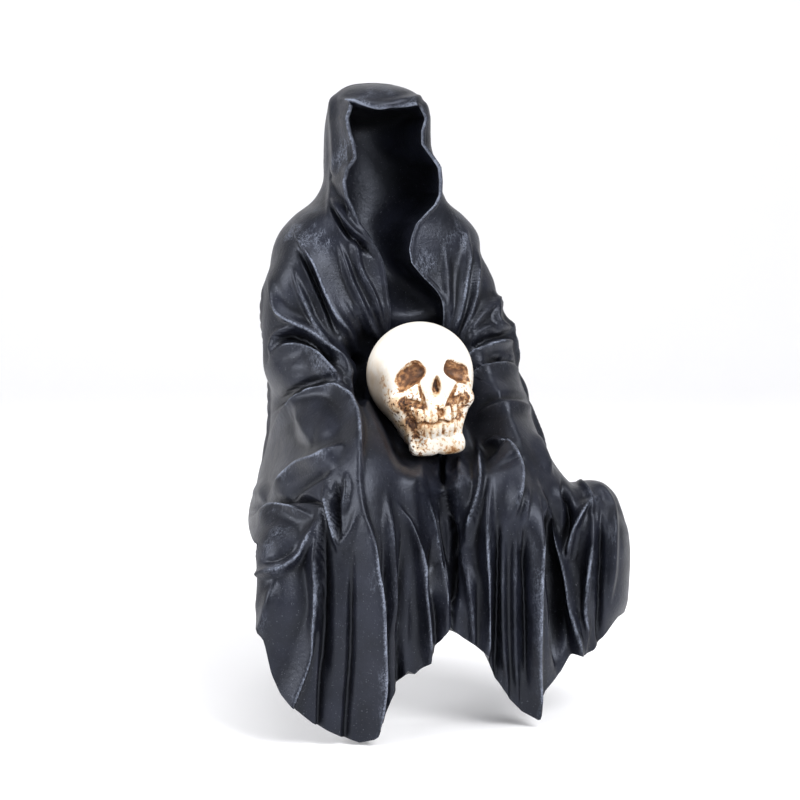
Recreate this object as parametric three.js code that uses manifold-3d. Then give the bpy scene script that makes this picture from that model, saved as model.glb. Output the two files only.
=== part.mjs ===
// Grim reaper statue: a hooded, empty robe that sits on the edge of a shelf with a skull in its lap.
// Two castings, the robe and the skull. Millimetres: X to the figure's left, Y to its back, Z up,
// and the origin lies on the flat underside of the seat.
import * as THREE from 'three';
import Module from 'manifold-3d';

// Driving dimensions
const SHELF_EDGE_Y = -22;          // the hanging cloth lies against the shelf's front here
const HANG_FRONT_Y = -34;          // front of the hanging cloth
const HANG_START = 19.5;           // station number below which the cloth stretches down to its hem
const RING_ROWS = 41;
const FRONT_COLUMNS = 70;
const BACK_COLUMNS = 24;
const SIDE_SHARE = 0.31;           // share of the front columns on each side of the hood's opening
const MIN_FOLD = 2.2;              // narrowest fold, half width, that these facets can carry
const FOLD_SHARE = 0.75;           // share of a fold's height that remains when it is this wide
const VISOR_Z = 80;                // the hood's top edge, which sags in the middle
const VISOR_SAG = 2.7;
const VISOR_HALF_WIDTH = 7.5;
const LAP_HALF_WIDTH = 14.5;       // the skull's room between the arms
const LAP_BACK = 9.5;              // how far the belly goes back behind it, and the lap down under it
const LAP_DOWN = 3.5;
const SHELF_CLOTH_LIFT = 4;        // of the cloth that lies on the shelf beside the left leg
const SKULL_RINGS = 30;
const SKULL_COLUMNS = 34;
const SKULL_GAP = 0.4;             // free space between the skull and the robe
const LAP_GAP = 0.7;               // the lap's rings stop this far from the skull before the cut
const SKULL_AT = new THREE.Vector3(-1.6, -13.5, 26.3);
const SKULL_TURN = -9;             // degrees, the face turns to the figure's right
const SKULL_LEAN = -3.5;           // degrees, the crown leans to the figure's right

// The three-quarter view that the folds are laid out in. Its plane faces the viewer and passes
// through the figure. Right of the middle and up from just above the seat are its coordinates.
const VIEW_TURN = -22;
const VIEW_TILT = 7;
const VIEW_DISTANCE = 460;
const VIEW_RIGHT = -0.8;
const VIEW_UP = 22.4;
const VIEW_LIFT = 20;

// Slices from front to back, crown first. Each has the y and z of its front and back ends,
// the x of its right and left sides, and how square its front and back halves are.
const STATIONS = [
  [11.5, 85.2, 12.5, 85.2, -2.4, -1.4, 2.0, 2.0],
  [8.0, 84.9, 16.0, 84.7, -6.2, 2.6, 2.0, 2.0],
  [4.0, 84.0, 19.5, 83.2, -8.8, 5.4, 2.2, 2.0],
  [1.2, 82.4, 22.0, 80.6, -10.4, 7.0, 2.6, 2.0],
  [0.6, 80.9, 23.2, 77.5, -11.0, 7.8, 3.0, 2.0],
  [0.8, 77.5, 24.2, 74.0, -11.2, 8.2, 3.2, 2.0],
  [1.2, 71.0, 24.8, 69.0, -11.2, 8.6, 3.2, 2.0],
  [1.2, 66.0, 24.8, 65.0, -11.4, 9.2, 3.0, 2.0],
  [0.6, 62.0, 25.0, 61.5, -13.6, 12.0, 2.6, 2.1],
  [-0.2, 58.5, 25.4, 58.5, -18.0, 16.8, 2.5, 2.2],
  [-1.0, 54.5, 25.8, 54.5, -21.4, 20.0, 2.5, 2.3],
  [-1.5, 49.0, 26.0, 49.0, -22.8, 20.4, 2.5, 2.4],
  [-2.5, 42.0, 26.0, 41.0, -22.8, 21.6, 2.5, 2.4],
  [-5.5, 35.5, 26.0, 32.0, -23.2, 24.0, 2.5, 2.5],
  [-11.0, 30.5, 26.5, 22.0, -23.6, 25.4, 2.5, 2.6],
  [-18.0, 26.5, 27.0, 12.0, -24.2, 25.2, 2.6, 2.8],
  [-25.0, 22.0, 27.0, 3.0, -26.4, 24.6, 2.6, 3.2],
  [-29.5, 17.0, 23.0, -3.0, -29.6, 25.6, 2.7, 3.6],
  [-32.0, 11.0, 10.0, -4.0, -33.0, 28.0, 2.8, 4.0],
  [-33.0, 5.5, -4.0, -4.0, -35.4, 34.2, 2.8, 4.0],
  [-33.5, 0.5, -14.0, -4.0, -36.8, 35.2, 2.9, 4.0],
  [-34.0, -4.5, -20.0, -7.0, -37.8, 35.4, 3.0, 4.0],
  [-34.0, -10.0, -22.0, -11.0, -38.8, 34.8, 3.0, 4.0],
  [-34.0, -16.0, -22.0, -16.0, -39.4, 34.4, 3.0, 4.0],
];

// The opening of the hood and robe by height: x of its right and left edge, their y, its depth.
const OPENING = [
  [82.0, -10.6, 3.6, 1.0, 0.0],
  [80.4, -11.0, 4.6, 1.0, 15.0],
  [78.8, -11.6, 5.2, 1.0, 17.0],
  [75.9, -11.0, 4.4, 1.0, 18.0],
  [73.3, -10.1, 4.4, 1.0, 18.0],
  [70.6, -9.9, 6.6, 1.0, 18.0],
  [68.9, -11.4, 8.0, 1.0, 17.5],
  [66.0, -12.2, 8.3, 1.0, 17.0],
  [63.0, -11.8, 8.0, 0.6, 16.0],
  [61.0, -11.0, 6.8, 0.2, 15.5],
  [57.4, -9.7, 2.7, -0.4, 14.5],
  [55.0, -8.1, 1.5, -1.0, 13.5],
  [52.6, -6.4, 0.8, -1.4, 12.5],
  [50.0, -5.3, 1.2, -1.6, 11.5],
  [47.4, -4.9, 3.4, -1.8, 10.5],
  [45.0, -4.7, 5.8, -2.2, 9.5],
  [42.4, -4.5, 7.8, -2.6, 8.5],
  [37.4, -3.9, 8.8, -5.0, 6.5],
  [32.0, -4.5, 8.0, -9.0, 3.0],
  [26.0, -5.0, 6.0, -18.0, 0.0],
  [-60.0, -5.0, 4.0, -33.0, 0.0],
];

// The torn hem along the front, x and z
const HEM = [
  [-42, -14], [-41, -19], [-39.8, -23.6], [-38.1, -26.8], [-35.3, -29.6], [-32, -32.2],
  [-29, -33.8], [-26.1, -35.2], [-22.8, -36.3], [-20.6, -35.5], [-17.8, -33], [-16.4, -29], [-14.2, -25.3], [-13, -23.6],
  [-11.6, -24.4], [-8.8, -22], [-6.3, -18.5], [-4.6, -16], [-2.4, -17.9], [0.8, -20.2],
  [3, -22.5], [4.6, -26.1], [7.6, -30.8], [10.3, -33.6], [13, -35.2], [14, -33.1],
  [15.1, -30], [18.5, -26.8], [20.7, -23.5], [23, -24.3], [25.7, -23.6], [28.3, -20.6],
  [30.1, -17.8], [32.4, -17.8], [35.1, -17.2], [37.1, -15.2], [39, -11],
];

// Folds: path in the view's plane, height, then the width on the path's right and left hand. Minus
// heights are grooves. The large forms come first, and the folds ride on them.
const MASSES = [
  // the valley between the legs, up to the hollow under the chin
  [[[6, 11.5], [8.2, 8], [9.4, 0], [10.4, -10.6], [10.8, -23]], -5.5, 7, 6],
  [[[0, 11.2], [6, 10.4], [13, 11.2]], -1.6, 1.6, 2],
  // knee and shin of the right leg
  [[[-12, 24], [-10.5, 12], [-8, -4], [-6.5, -22], [-6.4, -44]], 4, 13, 10],
  // the left leg
  [[[19, 12], [23, -4], [26.5, -20], [27.4, -42]], 4, 10, 8],
  // between the left leg and the cloth on the shelf
  [[[30, 6], [31.5, -6], [32.5, -20], [31, -34]], -4, 5, 5],
  // the cloth that hangs beside the left leg
  [[[38, 1], [41, -10], [40, -28]], 3, 6, 6],
  // the bag of cloth beside the right leg
  [[[-28, 2], [-27, -10], [-24, -30]], 2, 6, 8],
  // the right arm, its elbow and its broad sleeve over the knee
  [[[-20, 52], [-24, 38], [-25, 28], [-14, 22]], 2.5, 7, 7],
  [[[-24, 26.5], [-17, 26], [-11, 22.5]], 1.8, 3.5, 4],
  // the left arm
  [[[12, 52], [19, 38], [24, 28], [19, 22]], 2.5, 7, 7],
  // the dark gap between the right sleeve and the skull
  [[[-9.6, 30], [-8.2, 26], [-7.8, 18]], -2.6, 1.6, 2.4],
  // the right knee under its cloth
  [[[-21, 12.5], [-15, 14], [-12, 9]], 2.8, 6, 7],
  // the left knee
  [[[19.5, 9.5], [21.5, 6]], 1.8, 5, 5],
  // the bulge of the right side above the shelf, and the step under it
  [[[-30, 1.5], [-26, 1.5]], 1.6, 3, 3.5],
];
const FOLDS = [
  // chest and right arm, from the shoulder down to the lap
  [[[-22.6, 56.4], [-19.7, 51.4], [-16.9, 47], [-14.7, 41.4], [-12.4, 35.9], [-10.2, 31.4],
    [-8, 26.4]], 2.2, 1, 5],
  [[[-21, 51.4], [-18.6, 47], [-16.2, 41.4], [-13.8, 35.6], [-11.6, 31]], -1.8, 1.3, 0.9],
  [[[-21.8, 47.4], [-20.8, 43.7], [-19.1, 39.8], [-16.8, 35], [-13.6, 30.6], [-9.6, 25.8]], 1.6, 1.2, 1.2],
  [[[-12.6, 52.4], [-11.3, 48.7], [-9.7, 43.7], [-7.4, 38.7], [-5.2, 34.2], [-2.8, 29.8]], 1.5, 1.8, 1.3],
  [[[-10, 57], [-9.1, 53.1], [-8, 46.4], [-5.8, 42], [-4.1, 37.6], [-2.6, 32]], 1.5, 1.8, 0.9],
  // the right sleeve
  [[[-26.6, 46], [-25.8, 42.6], [-23.8, 37.6], [-20.8, 35.3], [-16.9, 33.1], [-12.4, 28.7],
    [-7.6, 22.6]], 2, 1.4, 2.2],
  [[[-25.4, 27], [-25.4, 31], [-23.6, 33.8], [-19.7, 34.8], [-16, 33.6]], 1.4, 1.6, 1.2],
  [[[-26.4, 30.4], [-24.2, 32.3], [-22, 32.7], [-18.6, 31.8], [-15.4, 29.4], [-12, 26.2]], -2.4, 1.1, 1.1],
  [[[-26.6, 26.2], [-25.2, 29], [-22.8, 30.5], [-19.7, 30.4], [-16.9, 28.7], [-12.4, 24.2],
    [-8.6, 20.4]], 2.1, 3.2, 1.2],
  [[[-27, 16.2], [-24, 19.6], [-20, 22.8], [-15.5, 24.2], [-11.4, 23.6], [-8.2, 21]], -1.6, 1.3, 1.3],
  // the hood's hem on the chest
  [[[-14.3, 61.5], [-12.2, 57.8], [-9.6, 54.1], [-5.1, 50.5]], 1.5, 0.9, 1.8],
  [[[-14.6, 60.6], [-11.8, 55.6], [-9.2, 52.2], [-4.8, 48.2]], -1.6, 1.2, 1.1],
  // hood
  [[[-13.4, 80.4], [-10.8, 79.6], [-7.8, 79.1], [-5.2, 78.9], [-2.7, 79], [0.4, 79.5], [3.4, 80.3],
    [6.4, 81.6]], 1.1, 0.8, 1.7],
  // chest and left arm
  [[[9, 52], [9.2, 45], [9.5, 39.5], [9.8, 33], [9.8, 28]], 1.1, 1.6, 1.6],
  [[[13.4, 55], [13.4, 48.7], [12.9, 43.7], [12.1, 38.7], [10.9, 33.7], [9.8, 29]], 1.8, 1.8, 1.3],
  [[[15.4, 52], [15.2, 46.4], [14.8, 40.9], [13.7, 35.9], [12.3, 32], [10.8, 28]], 1.6, 1.2, 1.3],
  [[[20.6, 42.4], [19, 39.8], [16.8, 37.6], [14.8, 34.8], [13, 31]], 1.5, 1.3, 1.2],
  [[[18.8, 42.4], [19.2, 39], [19.4, 35.8], [21.4, 34.4], [23.4, 34]], 1.3, 1, 1.4],
  [[[20.4, 35.2], [16, 33.8], [12.8, 30.4]], 1, 1, 1.1],
  [[[13.4, 28.6], [15.4, 31], [18.4, 32.5], [21.4, 33.1], [24, 33.3]], -1.9, 0.9, 0.9],
  [[[12, 24.6], [14.2, 28.1], [15.9, 29.8], [18.4, 31.2], [21.4, 31.7], [24, 31.5]], 1.9, 3, 0.9],
  [[[12.4, 20.4], [14.6, 24.6], [17.9, 26.2], [21.4, 26.4], [25, 25.8]], 1.6, 3, 0.9],
  [[[14, 15.6], [18, 18], [22.6, 19.2], [28.6, 16.8]], 1.2, 2.4, 1.1],
  [[[28.5, 13.9], [30.6, 9.2], [31.9, 5.6]], -1.3, 1.2, 1],
  [[[26.4, 14.5], [28.6, 9.6], [30.6, 4.6]], 1, 2, 1],
  // right knee and the cloth beside it
  [[[-27.4, 9.6], [-24.9, 14], [-22.1, 17.7], [-18.2, 20.8], [-13.8, 22], [-11, 20.6], [-9, 17.8],
    [-8.2, 13.5], [-8.2, 6], [-8, -2]], 2.5, 4.6, 1.5],
  [[[-9.5, 12], [-15.3, 8.2], [-19.3, 6.7], [-23.3, 3], [-27, -0.8]], 2.2, 2, 3],
  [[[-12.8, 6.8], [-19, 3.2], [-25.5, -1.6]], -1.5, 1.4, 1.5],
  [[[-33, -3.4], [-29.6, -2.8], [-25.3, -0.4], [-19.3, 0.2], [-14, -1.5]], -2.4, 1, 1.2],
  [[[-31, -4.8], [-27.9, -3.1], [-24.7, -1.8], [-20, -2.1], [-16.6, -3.6]], 1.7, 3, 1],
  [[[-31, -16.6], [-28, -14.9], [-24, -14], [-20, -10.7], [-16.6, -6], [-15.4, -1]], 2.3, 1.3, 2.8],
  [[[-24.6, -15], [-26, -20], [-28.5, -30]], 1.2, 2.4, 2],
  [[[-15.6, 2], [-15.7, -4.7], [-16.3, -11.3], [-16.3, -18], [-17, -24.7], [-18.7, -32.7], [-21, -39.3],
    [-26, -54]], 2.9, 5.2, 0.8],
  [[[-15.3, -1], [-15.4, -12], [-15.6, -28.7], [-16.2, -42], [-16.6, -58]], -1.9, 0.7, 3],
  // the little pouch under the right knee
  [[[-7.6, 1], [-8.7, -2.7], [-10, -6.7], [-12.3, -9.7], [-13.4, -11.6]], 1.5, 1.3, 1],
  [[[-12.4, 4.4], [-12.8, -1.8], [-12.4, -8.4]], -2.4, 1, 1],
  [[[-10.8, 6.4], [-10.7, 2], [-11.6, -3.4]], 1.2, 1, 1.1],
  // right leg
  [[[-8, 9], [-7.9, 2], [-7.3, -3], [-6.1, -8], [-5.4, -14], [-4.6, -20], [-4.3, -28], [-4.3, -36],
    [-4.8, -44], [-6.6, -52], [-9, -62]], 3.5, 6, 1.4],
  [[[-9.4, -6], [-9.7, -16], [-10, -30], [-10.8, -48], [-11.5, -62]], -1.3, 1.4, 1.4],
  [[[-3.6, -4], [-2.9, -14], [-2.4, -24], [-2.6, -36], [-3, -48]], -1.4, 0.8, 1.2],
  [[[-2.6, 3], [-2.3, -8], [-1.7, -18], [-1.7, -30]], 1.5, 1.5, 1.6],
  [[[0.2, -5], [0.5, -14], [0.4, -24], [0, -36], [-0.4, -48]], -1.9, 1.1, 1.1],
  [[[-1.4, 0.6], [0.4, -2.3], [2, -5], [3.5, -12], [4.6, -20], [5.3, -27.3], [5.8, -40]], 2.7, 2.8, 1.4],
  [[[5.5, -6], [6.6, -16], [7.4, -26], [7.6, -38]], -1.2, 1, 1.2],
  [[[3, 9], [4.3, 5], [5.6, -4.5], [7.6, -14], [9, -22], [9.6, -32]], 1.6, 1.6, 1.6],
  [[[8, 11.5], [7.3, 6], [6.6, 0.5], [7.2, -6], [9, -13.6], [10, -22]], 1.3, 1.3, 0.8],
  [[[8.4, 14], [8.5, 7], [8.7, 3.2], [9.2, 0], [10, -3], [10.7, -6.5], [10.8, -14], [10.9, -18],
    [10.6, -30]], -3.6, 0.9, 0.9],
  // left leg
  [[[11.8, -3], [12.8, -10], [13.7, -17], [14.1, -26], [15, -36]], 1.5, 0.9, 2],
  [[[15.6, 14], [16, 9.6], [16, 4.4], [15.3, -0.8], [14, -6], [13, -12]], 2.3, 1.6, 1.1],
  [[[16, 9.4], [17.2, 11.2], [19.6, 12], [21.9, 10.5], [23.2, 7.3], [23.7, 2.9], [23.2, -1.6],
    [21.6, -5.6]], 2.1, 3.5, 1.2],
  [[[18.4, 7], [17.9, 0], [17.8, -7], [17.8, -15.6], [17.4, -23], [16.7, -30.4],
    [15.8, -42]], 2.9, 2.6, 1.6],
  [[[20.8, -2], [20.5, -16], [20.8, -30], [21.6, -44]], 1.3, 1.2, 1.3],
  [[[23.2, -1], [23, -14], [23.2, -30], [23.6, -44]], 1.4, 1.3, 1],
  [[[24.6, 3], [24.6, -8], [24.9, -22], [25.2, -40]], -1.7, 1, 1.2],
  [[[25.9, 4], [25, -1], [24.5, -6.6], [24.4, -13]], 1.4, 1, 1.1],
  [[[27.4, 7], [27.2, 0], [27.1, -8], [27.4, -17], [27.5, -28], [27.2, -40], [26.6, -56]], 3, 3.4, 1.3],
  [[[26.4, 7], [27.4, 2], [28.9, -3], [31.1, -8.2], [33.1, -13.4], [34.3, -19.3], [35.3, -29.7],
    [36, -42]], 2.6, 1.8, 2.2],
  [[[29, -5], [30, -14], [31, -23], [31.6, -36]], -2.8, 1.5, 1.8],
  // the cloth that lies on the shelf and hangs beside the left leg
  [[[33.2, -14.6], [33.9, -10.4], [34.8, -6], [36.3, -1.9], [38.8, 0.2], [41, 0.4]], 2, 1.3, 1.6],
  [[[32.2, 5], [33.4, 0], [33.6, -5.4], [32.8, -10.6]], -2.3, 1.1, 1.3],
  [[[33.4, 4.6], [36, 3], [37.9, 0.6], [38.3, -4]], 1.5, 1.6, 1.2],
  [[[38.6, -0.6], [38.5, -8], [37.9, -15], [37.2, -24], [36.6, -34]], 1.7, 1.7, 1.3],
  [[[40.3, 0.2], [40.1, -10.6], [39.8, -18.4], [39.8, -32]], -1.6, 1.1, 1.2],
  [[[38.4, 4], [41, 2], [42.4, -3.2], [42.5, -11.5], [41.8, -22]], 1.4, 1.5, 1.5],
];

// Small maths
const radians = THREE.MathUtils.degToRad;

function smoothstep(lo, hi, x) {
  const t = Math.min(Math.max((x - lo) / (hi - lo), 0), 1);
  return t * t * (3 - 2 * t);
}

// Straight-line reading of y at x, from rising xs
function read(x, xs, ys) {
  if (x <= xs[0]) return ys[0];
  for (let i = 1; i < xs.length; i++) {
    if (x <= xs[i]) {
      const f = (x - xs[i - 1]) / (xs[i] - xs[i - 1] || 1);
      return ys[i - 1] + (ys[i] - ys[i - 1]) * f;
    }
  }
  return ys[ys.length - 1];
}

// A smooth curve through the rows of a table, at a row number that need not be whole
function smoothRow(table, at) {
  const last = table.length - 1;
  const t = Math.min(Math.max(at, 0), last);
  const i = Math.min(Math.floor(t), last - 1);
  const f = t - i;
  return table[i].map((_, k) => {
    const p1 = table[i][k];
    const p2 = table[i + 1][k];
    const p0 = i > 0 ? table[i - 1][k] : 2 * p1 - p2;
    const p3 = i < last - 1 ? table[i + 2][k] : 2 * p2 - p1;
    const a = 2 * p1;
    const b = p2 - p0;
    const c = 2 * p0 - 5 * p1 + 4 * p2 - p3;
    const d = 3 * p1 - p0 - 3 * p2 + p3;
    return 0.5 * (a + b * f + c * f * f + d * f * f * f);
  });
}

// Station numbers of the rows, spread evenly over the figure
function rowStations() {
  const last = STATIONS.length - 1;
  const fine = Array.from({ length: 1500 }, (_, i) => (i * last) / 1499);
  const rings = fine.map((at) => smoothRow(STATIONS, at));
  const walked = [0];
  for (let i = 1; i < fine.length; i++) {
    const step = rings[i].map((v, k) => v - rings[i - 1][k]);
    const front = Math.hypot(step[0], step[1]);
    const back = Math.hypot(step[2], step[3]);
    walked.push(walked[i - 1] + 0.6 * front + 0.25 * back + 0.5 * Math.abs(step[4]));
  }
  const hanging = fine.map((at, i) => walked[i] + 18 * smoothstep(HANG_START, last, at));
  const total = hanging[hanging.length - 1];
  return Array.from({ length: RING_ROWS }, (_, i) => read(((i + 1) * total) / RING_ROWS, hanging, fine));
}

// One ring of the robe, its points running from the right side over the front to the left side
// and back behind, with the opening sunk into it
function ring(at) {
  const [fy, fz, by, bz, xl, xr, squareFront, squareBack] = smoothRow(STATIONS, at);
  const w = (xr - xl) / 2;
  const cx = (xr + xl) / 2;
  const brow = VISOR_SAG * Math.exp(-(((fz - VISOR_Z) / 3) ** 2));
  const rise = (k) => [(fy + by) / 2 + ((fy - by) / 2) * k, (fz + bz) / 2 + ((fz - bz) / 2) * k];
  const onRing = (t) => {
    const n = Math.sin(t) < 0 ? squareFront : squareBack;
    const norm = (Math.abs(Math.cos(t)) ** n + Math.abs(Math.sin(t)) ** n) ** (1 / n);
    const [y, z] = rise(-Math.sin(t) / norm);
    const x = cx + (w * Math.cos(t)) / norm;
    const sag = Math.sin(t) < 0 ? brow * Math.max(1 - ((x - cx) / VISOR_HALF_WIDTH) ** 2, 0) : 0;
    return new THREE.Vector3(x, y, z - sag);
  };
  const walk = (from, to) => {
    const angles = Array.from({ length: 121 }, (_, i) => from + ((to - from) * i) / 120);
    const points = angles.map(onRing);
    const length = [0];
    for (let i = 1; i < points.length; i++) length.push(length[i - 1] + points[i].distanceTo(points[i - 1]));
    return { angles, length, end: length[length.length - 1] };
  };

  const byHeight = [...OPENING].reverse();
  const heights = byHeight.map((row) => row[0]);
  const [left, right, rimY, depth] = [1, 2, 3, 4].map((k) => read(fz, heights, byHeight.map((row) => row[k])));
  const open = smoothstep(0, 6, depth);
  const angleOf = (x) => {
    const u = Math.min(Math.max((x - cx) / w, -0.93), 0.93);
    return Math.atan2(-1, u / (1 - Math.abs(u) ** squareFront) ** (1 / squareFront));
  };

  const front = walk(-Math.PI, 0);
  const wl = read(angleOf(left), front.angles, front.length);
  const wr = read(angleOf(right), front.angles, front.length);
  const side = Math.round(FRONT_COLUMNS * SIDE_SHARE);
  const pocket = FRONT_COLUMNS - 2 * side;
  const spread = smoothstep(11.5, 17, at);
  const points = [];
  for (let i = 0; i < FRONT_COLUMNS; i++) {
    let target = wr + ((front.end - wr) * (i - side - pocket)) / side;
    if (i < side + pocket) target = wl + ((wr - wl) * (i - side)) / pocket;
    if (i < side) target = (wl * i) / side;
    const even = (front.end * i) / FRONT_COLUMNS;
    points.push(onRing(read(target + (even - target) * spread, front.length, front.angles)));
  }
  const back = walk(0, Math.PI);
  for (let i = 0; i < BACK_COLUMNS; i++) {
    points.push(onRing(read((back.end * i) / BACK_COLUMNS, back.length, back.angles)));
  }

  // the opening's edges stand at their own places, and the cloth beside them follows
  const rim = (point, x) => new THREE.Vector3(x - point.x, rimY - point.y, 0).multiplyScalar(open);
  const toLeft = rim(points[side], left);
  const toRight = rim(points[side + pocket], right);
  const edgeLeft = points[side].clone().add(toLeft);
  const edgeRight = points[side + pocket].clone().add(toRight);
  for (let i = 0; i < side; i++) {
    points[i].addScaledVector(toLeft, smoothstep(0.35, 1, i / side));
    points[side + pocket + i].addScaledVector(toRight, 1 - smoothstep(0, 0.65, i / side));
  }
  for (let i = 0; i < pocket; i++) {
    const beta = Math.PI * (1 - i / pocket);
    const inner = edgeLeft.clone().lerp(edgeRight, i / pocket);
    const half = ((edgeRight.x - edgeLeft.x) / 2) * (1 + 0.12 * Math.sin(beta));
    inner.x = (edgeLeft.x + edgeRight.x) / 2 + half * Math.cos(beta);
    inner.y += depth * Math.sin(beta) ** 0.7;
    points[side + i].lerp(inner, open);
  }
  return { points, open };
}

// Stretches the rows below the knees down to the torn hem, which is cut along the line of sight
function hang(grid, stations) {
  const last = STATIONS.length - 1;
  const bottom = grid[grid.length - 1].map((p) => p.z);
  const slant = 0.9 * Math.tan(radians(-VIEW_TURN));
  const hemX = HEM.map((p) => p[0]);
  const hemZ = HEM.map((p) => p[1]);
  grid.forEach((row, r) => {
    const straight = Math.min(Math.max((stations[r] - HANG_START) / (last - HANG_START), 0), 1);
    const share = 0.5 * smoothstep(HANG_START, last, stations[r]) + 0.5 * straight;
    row.forEach((p, c) => {
      const behind = p.y - HANG_FRONT_Y;
      p.z += (read(p.x - slant * behind, hemX, hemZ) + 0.25 * behind - bottom[c]) * share;
    });
  });
}

// Room for the skull: the belly goes back and the lap goes down between the arms
function lapHollow(grid) {
  for (const p of grid.flat()) {
    const across = smoothstep(0, 1, (LAP_HALF_WIDTH - Math.abs(p.x + 1)) / 7);
    const up = smoothstep(11, 19, p.z) * (1 - smoothstep(33, 42, p.z));
    const b = across * up * smoothstep(0, 1, (4 - p.y) / 5);
    p.y += LAP_BACK * b;
    p.z -= LAP_DOWN * b;
  }
}

// The cloth that lies on the shelf beside the left leg: flat on top, then over the edge
function ledge(grid) {
  for (const p of grid.flat()) {
    const b = smoothstep(25, 32, p.x) * smoothstep(-14, 1, p.z) * (1 - smoothstep(6, 13, p.z));
    p.z += SHELF_CLOTH_LIFT * b * (1 - smoothstep(-6, 8, p.y));
  }
}

// A view's axes and the place of a point on its plane
function viewAxes(turn, tilt) {
  const a = radians(turn);
  const e = radians(tilt);
  const right = new THREE.Vector3(Math.cos(a), Math.sin(a), 0);
  const up = new THREE.Vector3(-Math.sin(a) * Math.sin(e), Math.cos(a) * Math.sin(e), Math.cos(e));
  const back = new THREE.Vector3(Math.sin(a) * Math.cos(e), -Math.cos(a) * Math.cos(e), Math.sin(e));
  const eye = back.clone().multiplyScalar(VIEW_DISTANCE);
  eye.addScaledVector(right, VIEW_RIGHT).addScaledVector(up, VIEW_UP);
  return { right, up, back, eye };
}

function seen(point, view) {
  const q = point.clone().sub(view.eye);
  const scale = -VIEW_DISTANCE / q.dot(view.back);
  return [q.dot(view.right) * scale, q.dot(view.up) * scale + VIEW_LIFT];
}

// Height of one fold at a place in the view: 1 on its path, 0 at its width, and tapered ends
function stroke(place, pieces, right, left) {
  let best = Infinity;
  let hand = 0;
  let along = 0;
  for (const { a, d, length, start, total } of pieces) {
    const vx = place[0] - a[0];
    const vy = place[1] - a[1];
    const h = Math.min(Math.max((vx * d[0] + vy * d[1]) / (length * length), 0), 1);
    const away = Math.hypot(vx - h * d[0], vy - h * d[1]);
    if (away < best) {
      best = away;
      hand = d[0] * vy - d[1] * vx;
      along = (start + h * length) / total;
    }
  }
  const x = Math.min(best / (hand < 0 ? right : left), 1);
  return (1 - x * x) ** 2 * smoothstep(0, 0.3, along) * smoothstep(0, 0.3, 1 - along);
}

function piecesOf(path) {
  const spans = path.length < 3 ? 1 : 6 * (path.length - 1);
  const points = Array.from({ length: spans + 1 }, (_, i) => smoothRow(path, (i * (path.length - 1)) / spans));
  const pieces = [];
  let start = 0;
  for (let i = 0; i < spans; i++) {
    const d = [points[i + 1][0] - points[i][0], points[i + 1][1] - points[i][1]];
    const length = Math.hypot(...d);
    pieces.push({ a: points[i], d, length, start });
    start += length;
  }
  pieces.forEach((piece) => { piece.total = start; });
  return pieces;
}

// Normals of the grid, blurred over their neighbours
function gridNormals(grid, blurs) {
  const rows = grid.length;
  const cols = grid[0].length;
  const at = (r, c) => grid[Math.min(Math.max(r, 0), rows - 1)][(c + cols) % cols];
  let normals = grid.map((row, r) => row.map((_, c) => {
    const across = at(r, c + 1).clone().sub(at(r, c - 1));
    const down = at(r + 1, c).clone().sub(at(r - 1, c));
    return down.cross(across).normalize();
  }));
  for (let k = 0; k < blurs; k++) {
    const old = normals;
    const near = (r, c) => old[Math.min(Math.max(r, 0), rows - 1)][(c + cols) % cols];
    normals = old.map((row, r) => row.map((n, c) => n.clone().multiplyScalar(4)
      .add(near(r - 1, c)).add(near(r + 1, c)).add(near(r, c - 1)).add(near(r, c + 1)).normalize()));
  }
  return normals;
}

// Raises a group of folds on the side of the grid that the view sees, but not in the opening. Where
// ridges meet, the highest wins, by the fourth root of the sum of fourth powers, and so do grooves.
// Folds laid out in a view of their own stay off what the three-quarter view sees.
function raise(grid, opens, folds, turn = VIEW_TURN, tilt = VIEW_TILT) {
  const view = viewAxes(turn, tilt);
  const threeQuarter = viewAxes(VIEW_TURN, VIEW_TILT).back;
  const normals = gridNormals(grid, 3);
  const side = Math.round(FRONT_COLUMNS * SIDE_SHARE);
  const strokes = folds.map(([path, height, right, left]) => ({
    pieces: piecesOf(path),
    height: height * (Math.min(right, left) < MIN_FOLD ? FOLD_SHARE : 1),
    right: Math.max(right, MIN_FOLD),
    left: Math.max(left, MIN_FOLD),
  }));
  grid.forEach((row, r) => row.forEach((p, c) => {
    const n = normals[r][c];
    const unseen = turn === VIEW_TURN ? 1 : smoothstep(0.15, -0.25, n.dot(threeQuarter));
    const facing = smoothstep(0, 0.3, n.dot(view.back)) * unseen;
    const inside = c > side && c < FRONT_COLUMNS - side;
    const place = seen(p, view);
    let ridge = 0;
    let groove = 0;
    for (const s of strokes) {
      const form = (s.height * stroke(place, s.pieces, s.right, s.left)) ** 4;
      if (s.height > 0) ridge += form;
      else groove += form;
    }
    const height = ridge ** 0.25 - groove ** 0.25;
    p.addScaledVector(n, height * facing * (inside ? 1 - opens[r] : 1));
  }));
}

// Folds of the back, seen from straight behind: a hem across the shoulders, and a fan down to the seat
function backFolds() {
  const folds = [
    [[[-17, 60], [-12, 56], [-5, 53.6], [0, 53], [5, 53.6], [12, 56], [17, 60]], -1.6, 1, 1.6],
    [[[-10, 66], [-4, 61.6], [4, 61.2], [10, 65]], 0.9, 1.8, 1.8],
    [[[-8, 76], [-2, 70], [6, 71], [10, 76]], 0.7, 2, 2],
  ];
  for (let k = 0; k < 8; k++) {
    const share = (k - 3.5) / 3.5;
    const bow = 1.6 * Math.sin(2.4 * k);
    const path = [[13.5 * share, 52 - 3 * share ** 2], [16.5 * share + bow, 28], [20.5 * share, -6]];
    folds.push([path, 1.5 + 0.4 * Math.cos(1.7 * k), 2 + 0.6 * (k % 2), 2.8]);
  }
  return folds;
}

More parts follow.
